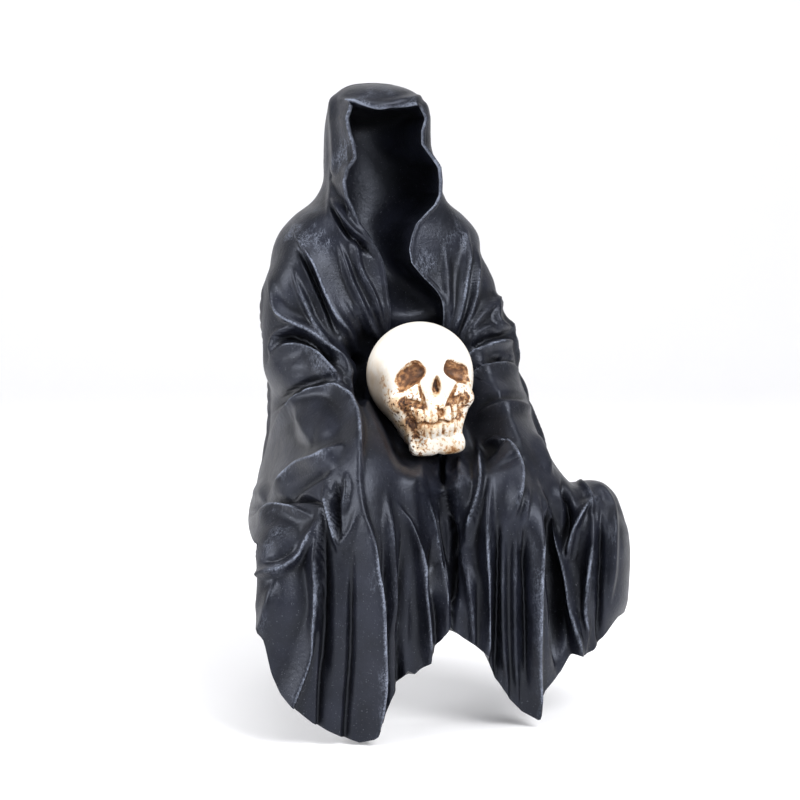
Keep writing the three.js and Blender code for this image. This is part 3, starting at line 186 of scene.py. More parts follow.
FOLDS = [
    # chest and right arm, from the shoulder down to the lap
    ([(-22.6, 56.4), (-19.7, 51.4), (-16.9, 47.0), (-14.7, 41.4), (-12.4, 35.9), (-10.2, 31.4),
      (-8.0, 26.4)], 2.2, 1.0, 5.0),
    ([(-21.0, 51.4), (-18.6, 47.0), (-16.2, 41.4), (-13.8, 35.6), (-11.6, 31.0)], -1.8, 1.3, 0.9),
    ([(-21.8, 47.4), (-20.8, 43.7), (-19.1, 39.8), (-16.8, 35.0), (-13.6, 30.6), (-9.6, 25.8)],
     1.6, 1.2, 1.2),
    ([(-20.3, 50.0), (-18.8, 46.4), (-16.9, 42.0), (-14.7, 37.0), (-12.2, 32.0)], 1.0, 0.9, 0.8),
    ([(-12.6, 52.4), (-11.3, 48.7), (-9.7, 43.7), (-7.4, 38.7), (-5.2, 34.2), (-2.8, 29.8)], 1.5, 1.8, 1.3),
    ([(-10.0, 57.0), (-9.1, 53.1), (-8.0, 46.4), (-5.8, 42.0), (-4.1, 37.6), (-2.6, 32.0)], 1.5, 1.8, 0.9),
    ([(-12.6, 41.5), (-10.2, 37.5), (-7.4, 32.4)], 0.9, 1.4, 1.1),
    ([(-9.8, 40.0), (-7.6, 36.0), (-5.2, 31.8)], 0.8, 1.0, 0.9),
    # the right sleeve
    ([(-26.6, 46.0), (-25.8, 42.6), (-23.8, 37.6), (-20.8, 35.3), (-16.9, 33.1), (-12.4, 28.7),
      (-7.6, 22.6)], 2.0, 1.4, 2.2),
    ([(-25.4, 27.0), (-25.4, 31.0), (-23.6, 33.8), (-19.7, 34.8), (-16.0, 33.6)], 1.4, 1.6, 1.2),
    ([(-26.4, 30.4), (-24.2, 32.3), (-22.0, 32.7), (-18.6, 31.8), (-15.4, 29.4), (-12.0, 26.2)],
     -2.4, 1.1, 1.1),
    ([(-26.6, 26.2), (-25.2, 29.0), (-22.8, 30.5), (-19.7, 30.4), (-16.9, 28.7), (-12.4, 24.2),
      (-8.6, 20.4)], 2.1, 3.2, 1.2),
    ([(-19.0, 27.4), (-15.0, 25.6), (-10.6, 21.8)], 0.8, 1.2, 1.0),
    ([(-27.0, 16.2), (-24.0, 19.6), (-20.0, 22.8), (-15.5, 24.2), (-11.4, 23.6), (-8.2, 21.0)],
     -1.6, 1.3, 1.3),
    # the hood's hem on the chest
    ([(-14.3, 61.5), (-12.2, 57.8), (-9.6, 54.1), (-5.1, 50.5)], 1.5, 0.9, 1.8),
    ([(-14.6, 60.6), (-11.8, 55.6), (-9.2, 52.2), (-4.8, 48.2)], -1.6, 1.2, 1.1),
    # hood
    ([(-13.4, 88.0), (-13.5, 78.0), (-13.0, 70.5), (-13.2, 65.0), (-15.0, 54.0)], 0.7, 1.6, 1.4),
    ([(-14.0, 66.8), (-13.0, 63.6), (-12.2, 61.0), (-10.8, 57.7), (-9.9, 55.4)], -1.0, 0.8, 0.7),
    ([(-13.4, 80.4), (-10.8, 79.6), (-7.8, 79.1), (-5.2, 78.9), (-2.7, 79.0), (0.4, 79.5), (3.4, 80.3),
      (6.4, 81.6)], 1.1, 0.8, 1.7),
    # chest and left arm
    ([(9.0, 52.0), (9.2, 45.0), (9.5, 39.5), (9.8, 33.0), (9.8, 28.0)], 1.1, 1.6, 1.6),
    ([(13.4, 55.0), (13.4, 48.7), (12.9, 43.7), (12.1, 38.7), (10.9, 33.7), (9.8, 29.0)], 1.8, 1.8, 1.3),
    ([(15.4, 52.0), (15.2, 46.4), (14.8, 40.9), (13.7, 35.9), (12.3, 32.0), (10.8, 28.0)], 1.6, 1.2, 1.3),
    ([(20.6, 42.4), (19.0, 39.8), (16.8, 37.6), (14.8, 34.8), (13.0, 31.0)], 1.5, 1.3, 1.2),
    ([(18.8, 42.4), (19.2, 39.0), (19.4, 35.8), (21.4, 34.4), (23.4, 34.0)], 1.3, 1.0, 1.4),
    ([(20.4, 35.2), (16.0, 33.8), (12.8, 30.4)], 1.0, 1.0, 1.1),
    ([(13.4, 28.6), (15.4, 31.0), (18.4, 32.5), (21.4, 33.1), (24.0, 33.3)], -1.9, 0.9, 0.9),
    ([(12.0, 24.6), (14.2, 28.1), (15.9, 29.8), (18.4, 31.2), (21.4, 31.7), (24.0, 31.5)], 1.9, 3.0, 0.9),
    ([(12.4, 21.6), (15.2, 25.8), (18.2, 27.5), (21.4, 27.7), (24.6, 27.4)], -1.4, 0.9, 0.9),
    ([(12.4, 20.4), (14.6, 24.6), (17.9, 26.2), (21.4, 26.4), (25.0, 25.8)], 1.6, 3.0, 0.9),
    ([(14.0, 17.6), (18.0, 20.4), (22.0, 21.0), (27.6, 19.8)], -0.9, 1.3, 1.0),
    ([(14.0, 15.6), (18.0, 18.0), (22.6, 19.2), (28.6, 16.8)], 1.2, 2.4, 1.1),
    ([(28.5, 13.9), (30.6, 9.2), (31.9, 5.6)], -1.3, 1.2, 1.0),
    ([(26.4, 14.5), (28.6, 9.6), (30.6, 4.6)], 1.0, 2.0, 1.0),
    # right knee and the cloth beside it
    ([(-27.4, 9.6), (-24.9, 14.0), (-22.1, 17.7), (-18.2, 20.8), (-13.8, 22.0), (-11.0, 20.6), (-9.0, 17.8),
      (-8.2, 13.5), (-8.2, 6.0), (-8.0, -2.0)], 2.5, 4.6, 1.5),
    ([(-9.5, 12.0), (-15.3, 8.2), (-19.3, 6.7), (-23.3, 3.0), (-27.0, -0.8)], 2.2, 2.0, 3.0),
    ([(-12.8, 6.8), (-19.0, 3.2), (-25.5, -1.6)], -1.5, 1.4, 1.5),
    ([(-33.0, -3.4), (-29.6, -2.8), (-25.3, -0.4), (-19.3, 0.2), (-14.0, -1.5)], -2.4, 1.0, 1.2),
    ([(-31.0, -4.8), (-27.9, -3.1), (-24.7, -1.8), (-20.0, -2.1), (-16.6, -3.6)], 1.7, 3.0, 1.0),
    ([(-31.0, -16.6), (-28.0, -14.9), (-24.0, -14.0), (-20.0, -10.7), (-16.6, -6.0), (-15.4, -1.0)],
     2.3, 1.3, 2.8),
    ([(-28.4, -12.4), (-23.6, -11.8), (-19.2, -8.6)], -1.0, 1.0, 1.0),
    ([(-24.6, -15.0), (-26.0, -20.0), (-28.5, -30.0)], 1.2, 2.4, 2.0),
    ([(-15.6, 2.0), (-15.7, -4.7), (-16.3, -11.3), (-16.3, -18.0), (-17.0, -24.7), (-18.7, -32.7),
      (-21.0, -39.3), (-26.0, -54.0)], 2.9, 5.2, 0.8),
    ([(-15.3, -1.0), (-15.4, -12.0), (-15.6, -28.7), (-16.2, -42.0), (-16.6, -58.0)], -1.9, 0.7, 3.0),
    # the little pouch under the right knee
    ([(-15.0, 4.4), (-14.7, 0.7), (-13.3, -6.0), (-12.3, -9.7), (-11.7, -12.0)], 1.7, 1.0, 1.0),
    ([(-7.6, 1.0), (-8.7, -2.7), (-10.0, -6.7), (-12.3, -9.7), (-13.4, -11.6)], 1.5, 1.3, 1.0),
    ([(-12.4, 4.4), (-12.8, -1.8), (-12.4, -8.4)], -2.4, 1.0, 1.0),
    ([(-10.8, 6.4), (-10.7, 2.0), (-11.6, -3.4)], 1.2, 1.0, 1.1),
    # right leg
    ([(-8.0, 9.0), (-7.9, 2.0), (-7.3, -3.0), (-6.1, -8.0), (-5.4, -14.0), (-4.6, -20.0), (-4.3, -28.0),
      (-4.3, -36.0), (-4.8, -44.0), (-6.6, -52.0), (-9.0, -62.0)], 3.5, 6.0, 1.4),
    ([(-9.4, -6.0), (-9.7, -16.0), (-10.0, -30.0), (-10.8, -48.0), (-11.5, -62.0)], -1.3, 1.4, 1.4),
    ([(-3.6, -4.0), (-2.9, -14.0), (-2.4, -24.0), (-2.6, -36.0), (-3.0, -48.0)], -1.4, 0.8, 1.2),
    ([(-2.6, 3.0), (-2.3, -8.0), (-1.7, -18.0), (-1.7, -30.0)], 1.5, 1.5, 1.6),
    ([(0.2, -5.0), (0.5, -14.0), (0.4, -24.0), (0.0, -36.0), (-0.4, -48.0)], -1.9, 1.1, 1.1),
    ([(-1.4, 0.6), (0.4, -2.3), (2.0, -5.0), (3.5, -12.0), (4.6, -20.0), (5.3, -27.3), (5.8, -40.0)],
     2.7, 2.8, 1.4),
    ([(5.5, -6.0), (6.6, -16.0), (7.4, -26.0), (7.6, -38.0)], -1.2, 1.0, 1.2),
    ([(3.0, 9.0), (4.3, 5.0), (5.6, -4.5), (7.6, -14.0), (9.0, -22.0), (9.6, -32.0)], 1.6, 1.6, 1.6),
    ([(8.0, 11.5), (7.3, 6.0), (6.6, 0.5), (7.2, -6.0), (9.0, -13.6), (10.0, -22.0)], 1.3, 1.3, 0.8),
    ([(8.4, 14.0), (8.5, 7.0), (8.7, 3.2), (9.2, 0.0), (10.0, -3.0), (10.7, -6.5), (10.8, -14.0),
      (10.9, -18.0), (10.6, -30.0)], -3.6, 0.9, 0.9),
    # left leg
    ([(9.4, 11.0), (9.5, 6.0), (10.0, 0.8), (10.7, -2.6), (12.0, -7.0)], 1.3, 0.7, 0.7),
    ([(12.0, 11.0), (12.2, 6.0), (11.9, 2.0), (11.3, -2.2), (11.4, -6.0)], 1.5, 0.8, 0.9),
    ([(11.8, -3.0), (12.8, -10.0), (13.7, -17.0), (14.1, -26.0), (15.0, -36.0)], 1.5, 0.9, 2.0),
    ([(15.6, 14.0), (16.0, 9.6), (16.0, 4.4), (15.3, -0.8), (14.0, -6.0), (13.0, -12.0)], 2.3, 1.6, 1.1),
    ([(14.0, 8.4), (14.2, 3.0), (13.8, -2.6)], -1.3, 0.9, 0.9),
    ([(16.0, 9.4), (17.2, 11.2), (19.6, 12.0), (21.9, 10.5), (23.2, 7.3), (23.7, 2.9), (23.2, -1.6),
      (21.6, -5.6)], 2.1, 3.5, 1.2),
    ([(18.4, 7.0), (17.9, 0.0), (17.8, -7.0), (17.8, -15.6), (17.4, -23.0), (16.7, -30.4), (15.8, -42.0)],
     2.9, 2.6, 1.6),
    ([(19.5, -2.0), (19.4, -14.0), (19.2, -28.0), (19.4, -42.0)], -1.4, 0.8, 1.0),
    ([(20.8, -2.0), (20.5, -16.0), (20.8, -30.0), (21.6, -44.0)], 1.3, 1.2, 1.3),
    ([(23.2, -1.0), (23.0, -14.0), (23.2, -30.0), (23.6, -44.0)], 1.4, 1.3, 1.0),
    ([(24.6, 3.0), (24.6, -8.0), (24.9, -22.0), (25.2, -40.0)], -1.7, 1.0, 1.2),
    ([(25.9, 4.0), (25.0, -1.0), (24.5, -6.6), (24.4, -13.0)], 1.4, 1.0, 1.1),
    ([(27.4, 7.0), (27.2, 0.0), (27.1, -8.0), (27.4, -17.0), (27.5, -28.0), (27.2, -40.0), (26.6, -56.0)],
     3.0, 3.4, 1.3),
    ([(26.4, 7.0), (27.4, 2.0), (28.9, -3.0), (31.1, -8.2), (33.1, -13.4), (34.3, -19.3), (35.3, -29.7),
      (36.0, -42.0)], 2.6, 1.8, 2.2),
    ([(29.0, -5.0), (30.0, -14.0), (31.0, -23.0), (31.6, -36.0)], -2.8, 1.5, 1.8),
    # the cloth that lies on the shelf and hangs beside the left leg
    ([(33.2, -14.6), (33.9, -10.4), (34.8, -6.0), (36.3, -1.9), (38.8, 0.2), (41.0, 0.4)], 2.0, 1.3, 1.6),
    ([(32.2, 5.0), (33.4, 0.0), (33.6, -5.4), (32.8, -10.6)], -2.3, 1.1, 1.3),
    ([(33.4, 4.6), (36.0, 3.0), (37.9, 0.6), (38.3, -4.0)], 1.5, 1.6, 1.2),
    ([(38.6, -0.6), (38.5, -8.0), (37.9, -15.0), (37.2, -24.0), (36.6, -34.0)], 1.7, 1.7, 1.3),
    ([(40.3, 0.2), (40.1, -10.6), (39.8, -18.4), (39.8, -32.0)], -1.6, 1.1, 1.2),
    ([(38.4, 4.0), (41.0, 2.0), (42.4, -3.2), (42.5, -11.5), (41.8, -22.0)], 1.4, 1.5, 1.5),
]

# passes of smoothing: of the normals that folds and full forms are raised along, and of those that tell what
# faces the front view; of the hood's lining, of the crowded folds, and of what counts as a point's
# surroundings for the brush. Then how squarely cloth has to face a view before its folds are raised in full,
# and how bright the brushed lines of the back and sides are.
FOLD_BLUR, FORM_BLUR, FACING_BLUR = 16, 220, 8
LINING_BLUR, CROWDED_BLUR, AROUND_BLUR = 60, 30, 40
FULL_FACING, PLAIN_LINE = 0.3, 0.9

# where the dry brush went over flat cloth too: right, up, radius and strength on the front view; and how far
# past its radius such a patch fades out
BRUSHED = [
    (-4.0, 82.6, 4.5, 0.8), (4.0, 82.8, 3.0, 0.7), (-13.6, 73.0, 3.0, 0.8), (-20.0, 50.0, 4.0, 0.7),
    (-17.8, 53.0, 7.0, 1.7), (11.5, 53.0, 6.0, 1.2), (5.0, 47.5, 4.0, 1.0), (-24.0, -4.0, 6.0, 0.9),
    (-25.5, -10.0, 4.5, 0.8), (-13.5, 26.0, 4.5, 0.8), (-11.4, 69.0, 5.0, 1.3), (-5.5, -18.0, 4.0, 0.3),
    (-5.5, -34.0, 5.0, 0.4), (13.5, 43.0, 4.0, 0.6), (-8.0, 5.0, 3.0, 0.6), (38.0, 0.0, 4.0, 0.4),
]
BRUSH_FADE = 1.3

# where folds crowd together under the chin and are eased: right, up and reach on the front view, and the y
# in front of which that is
CROWDED_AT, CROWDED_REACH, CROWDED_Y = (9.7, 1.5), 7.0, -25.0

# the rolled hem around the hood's opening; then the height of its top edge, how far that sags in the middle,
# over how much height, and over what half width
ROLL_WIDTH, ROLL_HEIGHT = 0.7, 0.4
VISOR_Z, VISOR_SAG, VISOR_TALL, VISOR_HALF = 80.0, 2.7, 3.0, 7.5

# how far the brushed line beside a crest reaches, and the height of a fold whose line is full; and the same
# reach on the opening's edges and on the brow above it
LINE_REACH, FULL_LINE = 2.3, 1.7
EDGE_REACH, BROW_REACH = 1.0, 6.0

# skull: its centre, the turn of its face and the lean of its crown in degrees, and the room around it
SKULL_AT = np.array([-1.6, -13.5, 26.3])
SKULL_TURN, SKULL_LEAN = -9.0, -3.5
SKULL_GAP = 0.4
HOLLOW_DEPTH = 1.6

# what is cut from the skull, from its own centre: softness of the edge, centre, radii, squareness and tilt.
# First the eye sockets and the slits at their inner corners, then the temples and the hollows of the cheeks.
EYE_CUTS = [
    (0.1, (-5.3, -10.4, 3.6), (4.1, 3.2, 1.95), 3.2, 33.0),
    (0.1, (6.4, -9.8, 3.3), (4.7, 3.8, 1.8), 3.0, -25.0),
    (0.2, (-2.8, -11.8, 1.0), (0.4, 1.7, 3.4), 2.2, 12.0),
    (0.2, (3.8, -11.4, 0.8), (0.35, 1.7, 3.2), 2.2, -36.0),
]
SIDE_CUTS = [
    (0.5, (-11.2, -6.6, 2.4), (2.4, 3.4, 4.4)),
    (0.7, (11.6, -6.2, 2.6), (1.8, 3.4, 4.4)),
    (0.35, (-4.9, -10.4, -5.2), (1.1, 2.1, 4.2), 2.2, 19.0),
    (0.4, (5.0, -10.2, -3.4), (1.0, 1.5, 2.2), 2.2, -19.0),
]

# the teeth: height of the mouth's line; for the upper and the lower row its middle above that line, half
# height, relief and pitch; and how many reliefs deep a full gap is
MOUTH_Z = -5.0
UPPER_AT, UPPER_HALF, UPPER_RELIEF, UPPER_PITCH = 1.5, 1.6, 0.36, 1.35
LOWER_AT, LOWER_HALF, LOWER_RELIEF, LOWER_PITCH = -1.5, 1.4, 0.3, 1.2
GAP_DIP = 2.2

# lamps: name, degrees around and above the view, distance and size in metres, and power
LAMPS = [
    ("key", 42, 40, 0.7, 0.4, 5.5),
    ("fill", -65, 25, 0.7, 0.4, 4.5),
    ("top", 0, 82, 0.8, 0.4, 2.0),
]

# the backdrop in metres: half width, radius of the sweep, where the sweep begins behind the figure, the
# profile's near end and its top; and how far below the hem the floor lies
FLOOR_HALF, FLOOR_SWEEP, FLOOR_REAR, FLOOR_NEAR, FLOOR_TOP = 1.8, 0.35, -0.5, 1.2, 2.0
FLOOR_GAP = 0.0005


def smoothstep(low, high, x):
    """0 below low, 1 above high, and a smooth S between them."""
    t = np.clip((x - low) / (high - low), 0.0, 1.0)
    return t * t * (3.0 - 2.0 * t)


def bell(x, width):
    """1 at 0, and less to both sides by the exponential of minus the square of x / width."""
    return np.exp(-((x / width) ** 2))


def smooth_rows(table, at):
    """Rows of a table at row numbers that need not be whole, on a Catmull-Rom curve through its rows."""
    table = np.asarray(table, float)
    last = len(table) - 1
    i = np.minimum(np.clip(at, 0, last).astype(int), last - 1)
    f = (np.clip(at, 0, last) - i)[:, None]
    b, c = table[i], table[i + 1]
    a = np.where((i > 0)[:, None], table[np.maximum(i - 1, 0)], 2 * b - c)
    d = np.where((i < last - 1)[:, None], table[np.minimum(i + 2, last)], 2 * c - b)
    return 0.5 * (2 * b + (c - a) * f + (2 * a - 5 * b + 4 * c - d) * f**2 + (3 * b - a - 3 * c + d) * f**3)


def view_axes(turn=VIEW_TURN, tilt=VIEW_TILT):
    """Right, up and towards the eye, for an eye turned and raised by these degrees."""
    a, e = np.radians(turn), np.radians(tilt)
    right = np.array([np.cos(a), np.sin(a), 0.0])
    up = np.array([-np.sin(a) * np.sin(e), np.cos(a) * np.sin(e), np.cos(e)])
    back = np.array([np.sin(a) * np.cos(e), -np.cos(a) * np.cos(e), np.sin(e)])
    return right, up, back


def seen(points, turn=VIEW_TURN, tilt=VIEW_TILT):
    """Right and up of each point on the view's own plane, which passes through the origin."""
    right, up, back = view_axes(turn, tilt)
    ray = points - (right * VIEW_RIGHT + up * VIEW_UP + back * VIEW_DISTANCE)
    scale = VIEW_DISTANCE / -(ray @ back)
    return np.stack([(ray @ right) * scale, (ray @ up) * scale + VIEW_LIFT], -1)


def robe_rings():
    """The plain robe: one closed ring of points for each row.

    A row reads its sizes from STATIONS. Its front half is a rounded square from the right side round the
    front to the left side, and its back half the same behind, both tilted with the row. The columns crowd
    at the edges of the opening, and the columns between them go back as a pocket: x follows a cosine between
    the edges, and y goes back by depth times a power of a sine. Also gives each row's place between slices,
    how open it is, and the first column of the opening and the first after it.
    """
    fine = np.linspace(0, len(STATIONS) - 1, TRACK_POINTS)
    track = np.diff(smooth_rows(STATIONS, fine)[:, :5], axis=0)
    steps = FRONT_PULL * np.hypot(track[:, 0], track[:, 1]) + BACK_PULL * np.hypot(track[:, 2], track[:, 3])
    steps = steps + SIDE_PULL * np.abs(track[:, 4])
    length = np.concatenate([[0], np.cumsum(steps)])
    length = length + HANG_PULL * smoothstep(HANG_START, len(STATIONS) - 1, fine)
    at = np.interp(np.linspace(0, length[-1], ROBE_ROWS + 1)[1:], length, fine)
    slices = smooth_rows(STATIONS, at).T
    front_y, front_z, back_y, back_z, right_x, left_x, square_front, square_back = slices
    half, middle = (left_x - right_x) / 2, (left_x + right_x) / 2
    columns = [np.interp(front_z, OPENING[:, 0], OPENING[:, k]) for k in range(1, 5)]
    edge_right, edge_left, rim_y, depth = columns
    opened = smoothstep(0.0, OPEN_DEPTH, depth)

    def angle_of(x):
        """The angle on the rounded square at which x is reached."""
        u = np.clip((x - middle) / half, -EDGE_LIMIT, EDGE_LIMIT)
        return np.arctan2(-1.0, u / (1 - np.abs(u) ** square_front) ** (1 / square_front))

    def walked(angles, square):
        """The length walked along each ring up to each angle."""
        c, s = np.cos(angles)[None, :], np.sin(angles)[None, :]
        n = square[:, None]
        norm = (np.abs(c) ** n + np.abs(s) ** n) ** (1 / n)
        deep = np.hypot(front_y - back_y, front_z - back_z)[:, None] / 2
        step = np.hypot(np.diff(half[:, None] * c / norm, axis=1), np.diff(deep * s / norm, axis=1))
        return np.concatenate([np.zeros((len(at), 1)), np.cumsum(step, 1)], 1)

    def at_length(lengths, walk, angles):
        """The angle at each walked length, ring by ring."""
        return np.stack([np.interp(a, b, angles) for a, b in zip(lengths, walk)])

    def walked_to(x):
        """The length walked along each ring's front up to x."""
        return np.array([np.interp(a, front_angles, w) for a, w in zip(angle_of(x), walk)])[:, None]

    front_angles, back_angles = np.linspace(-np.pi, 0, RING_ANGLES), np.linspace(0, np.pi, RING_ANGLES)
    walk = walked(front_angles, square_front)
    to_right, to_left = walked_to(edge_right), walked_to(edge_left)
    end = walk[:, -1:]
    side = round(ROBE_FRONT * SIDE_SHARE)
    inner = ROBE_FRONT - 2 * side
    share = np.linspace(0, 1, side, endpoint=False)[None, :]
    across = np.linspace(0, 1, inner, endpoint=False)[None, :]
    parts = [to_right * share, to_right + (to_left - to_right) * across, to_left + (end - to_left) * share]
    crowded = np.concatenate(parts, 1)
    even = end * np.linspace(0, 1, ROBE_FRONT, endpoint=False)
    target = crowded + (even - crowded) * smoothstep(EVEN_FROM, EVEN_TO, at)[:, None]
    walk_back = walked(back_angles, square_back)
    even_back = walk_back[:, -1:] * np.linspace(0, 1, ROBE_BACK, endpoint=False)
    angles = [at_length(target, walk, front_angles), at_length(even_back, walk_back, back_angles)]
    angles = np.concatenate(angles, 1)

    c, s = np.cos(angles), np.sin(angles)
    n = np.where(s < 0, square_front[:, None], square_back[:, None])
    norm = (np.abs(c) ** n + np.abs(s) ** n) ** (1 / n)
    x = middle[:, None] + half[:, None] * c / norm
    y = ((front_y + back_y) / 2)[:, None] - ((front_y - back_y) / 2)[:, None] * s / norm
    z = ((front_z + back_z) / 2)[:, None] - ((front_z - back_z) / 2)[:, None] * s / norm
    brow = bell(front_z - VISOR_Z, VISOR_TALL)[:, None]
    z = z - VISOR_SAG * brow * np.clip(1 - ((x - middle[:, None]) / VISOR_HALF) ** 2, 0, 1) * (s < 0)
    rings = np.stack([x, y, z], -1)

    first, last = side, side + inner
    zero = np.zeros(len(at))
    shift_right = np.stack([edge_right - x[:, first], rim_y - y[:, first], zero], -1) * opened[:, None]
    shift_left = np.stack([edge_left - x[:, last], rim_y - y[:, last], zero], -1) * opened[:, None]
    rim_right = rings[:, first] + shift_right
    rim_left = rings[:, last] + shift_left
    rings[:, :first] += shift_right[:, None, :] * smoothstep(EDGE_PULL, 1.0, share[0])[None, :, None]
    rings[:, last:ROBE_FRONT] += shift_left[:, None, :] * smoothstep(1.0, EDGE_PULL, share[0])[None, :, None]
    turn = np.pi * (1 - across)
    pocket = rim_right[:, None, :] + (rim_left - rim_right)[:, None, :] * across[0][None, :, None]
    wide = (rim_left - rim_right)[:, :1] / 2 * (1 + POCKET_SWELL * np.sin(turn))
    pocket[..., 0] = (rim_left + rim_right)[:, :1] / 2 + wide * np.cos(turn)
    pocket[..., 1] += depth[:, None] * np.sin(turn) ** POCKET_POWER
    rings[:, first:last] += (pocket - rings[:, first:last]) * opened[:, None, None]
    # the lining is smoother than the cut edge of the hood
    calm = blur(rings, LINING_BLUR)[:, first:last]
    rings[:, first:last] += (calm - rings[:, first:last]) * (np.sin(turn) * opened[:, None])[..., None]
    return rings, at, opened, first, last


def hang(rings, at):
    """Stretches the rows below the knees straight down to the torn hem, read along the line of sight.

    A row moves by its share of the way, which is half a straight line and half a smooth S.
    """
    last = len(STATIONS) - 1
    straight = np.clip((at - HANG_START) / (last - HANG_START), 0, 1)
    share = 0.5 * smoothstep(HANG_START, last, at) + 0.5 * straight
    behind = rings[..., 1] - HANG_FRONT_Y
    slant = HEM_SLANT * np.tan(np.radians(-VIEW_TURN))
    hem = np.interp(rings[..., 0] - slant * behind, HEM[:, 0], HEM[:, 1]) + HEM_RISE * behind
    out = rings.copy()
    out[..., 2] += (hem - rings[-1:, :, 2]) * share[:, None]
    return out


def lap(rings):
    """Hollows the belly and the lap for the skull, and lifts the cloth that lies on the shelf."""
    x, y, z = np.moveaxis(rings, -1, 0)
    room = smoothstep(0, 1, (LAP_HALF - np.abs(x - LAP_X)) / LAP_SOFT) * smoothstep(*LAP_FROM, z)
    room = room * (1 - smoothstep(*LAP_TO, z)) * smoothstep(0, 1, (LAP_REAR - y) / LAP_REAR_SOFT)
    out = rings.copy()
    out[..., 1] += LAP_BACK * room
    out[..., 2] -= LAP_DOWN * room
    x, y, z = np.moveaxis(out, -1, 0)
    lying = smoothstep(25, 32, x) * smoothstep(-14, 1, z) * (1 - smoothstep(6, 13, z)) * smoothstep(8, -6, y)
    out[..., 2] += LYING_LIFT * lying
    return out


def blur(values, times):
    """Each pass moves a value half way to the mean of its four neighbours on the grid."""
    for _ in range(times):
        tall = np.concatenate([values[:1], values, values[-1:]])
        around = np.roll(values, 1, 1) + np.roll(values, -1, 1)
        values = 0.5 * values + 0.125 * (tall[:-2] + tall[2:] + around)
    return values


def normals(rings):
    """The outward normal of each point of the grid, from its neighbours."""
    around = np.roll(rings, -1, 1) - np.roll(rings, 1, 1)
    down = np.gradient(rings, axis=0)
    n = np.cross(down, around)
    return n / np.maximum(np.linalg.norm(n, axis=-1, keepdims=True), 1e-9)


def stroke(place, path, right, left, keen):
    """One fold's height at each place: 1 on its path, 0 at its width, which may differ on each hand.

    With x the distance as a share of the width, a keen fold is (1 - x)^2 with its tip rounded off, and a
    full form is (1 - x^2)^2. Both narrow and fade out over the first and last 30 % of the path. The second
    result is the line along the fold's crest: it falls from 1 on the path to 0 at LINE_REACH.
    """
    path = np.asarray(path, float)
    if len(path) > 2:
        path = smooth_rows(path, np.linspace(0, len(path) - 1, 5 * (len(path) - 1) + 1))
    sides = np.diff(path, axis=0)
    lengths = np.hypot(*sides.T)
    starts = np.concatenate([[0], np.cumsum(lengths)])
    reach = max(right, left)
    near = ((place > path.min(0) - reach) & (place < path.max(0) + reach)).all(-1)
    q = place[near]
    best = np.full(len(q), 1e9)
    hand = np.zeros(len(q))
    along = np.zeros(len(q))
    for corner, side, length, start in zip(path[:-1], sides, lengths, starts):
        off = q - corner
        h = np.clip(off @ side / length**2, 0, 1)
        away = np.hypot(*(off - h[:, None] * side).T)
        closer = away < best
        best = np.where(closer, away, best)
        hand = np.where(closer, side[0] * off[:, 1] - side[1] * off[:, 0], hand)
        along = np.where(closer, (start + h * length) / starts[-1], along)
    fade = smoothstep(0, 0.3, along) * smoothstep(0, 0.3, 1 - along)
    width = np.where(hand < 0, right, left) * (0.45 + 0.55 * fade)
    x = np.clip(best / width, 0, 1)
    tip = 0.35 / width
    if keen:
        form = (1 - (np.sqrt(x**2 + tip**2) - tip) / (np.sqrt(1 + tip**2) - tip)) ** 2
    else:
        form = (1 - x**2) ** 2
    height = np.zeros(place.shape[:-1])
    height[near] = form * fade
    line = np.zeros(place.shape[:-1])
    line[near] = np.clip(1 - best / LINE_REACH, 0, 1) * fade
    return height, line


def roll_edges(rings, opened, first, last):
    """A rolled hem on both edges of the opening, and the brushed line along its crest and over the brow.

    With d the distance along the ring from the edge, the roll stands out by (1 - d^2 / width^2). Over the
    brow, the line lies at the row where the opening begins, and d is measured down the columns.
    """
    n = blur(normals(rings), 3)
    n = n / np.linalg.norm(n, axis=-1, keepdims=True)
    step = np.linalg.norm(np.diff(rings, axis=1, append=rings[:, :1]), axis=-1)
    run = np.cumsum(step, 1) - step
    distance = np.abs(run - run[:, first:first + 1])
    distance = np.minimum(distance, np.abs(run - run[:, last:last + 1]))
    roll = np.clip(1 - (distance / ROLL_WIDTH) ** 2, 0, 1) * opened[:, None]
    line = np.clip(1 - distance / EDGE_REACH, 0, 1) * opened[:, None]
    fall = np.linalg.norm(np.diff(rings, axis=0, append=rings[-1:]), axis=-1)
    drop = np.cumsum(fall, 0) - fall
    brow = np.argmax(opened > 0.05) - 1
    over = np.clip(1 - np.abs(drop - drop[brow]) / BROW_REACH, 0, 1)
    line[:, first:last] = np.maximum(line, over)[:, first:last]
    return rings + n * (ROLL_HEIGHT * roll)[..., None], line


def carve_folds(rings, folds, shown, keen, turn=VIEW_TURN, tilt=VIEW_TILT):
    """Raises folds and cuts grooves along the smoothed normals, where the cloth faces the view.

    Where ridges meet, the highest wins, by the fourth root of the sum of fourth powers, and so do grooves.
    Full forms go deep, so their normals are smoothed far enough not to cross at the lap's edge.
    """
    n = blur(normals(rings), FOLD_BLUR if keen else FORM_BLUR)
    n = n / np.linalg.norm(n, axis=-1, keepdims=True)
    place = seen(rings, turn, tilt)
    ridge = np.zeros(rings.shape[:2])
    groove = np.zeros(rings.shape[:2])
    line = np.zeros(rings.shape[:2])
    for path, height, right, left in folds:
        form, crest = stroke(place, path, right, left, keen)
        form = (abs(height) * form) ** 4
        if height > 0:
            ridge = ridge + form
            line = np.maximum(line, crest * min(1, height / FULL_LINE))
        else:
            groove = groove + form
    facing = smoothstep(0.0, FULL_FACING, n @ view_axes(turn, tilt)[2]) * shown
    ridge = ridge**0.25 * facing
    groove = groove**0.25 * facing
    return rings + n * (ridge - groove)[..., None], line * facing


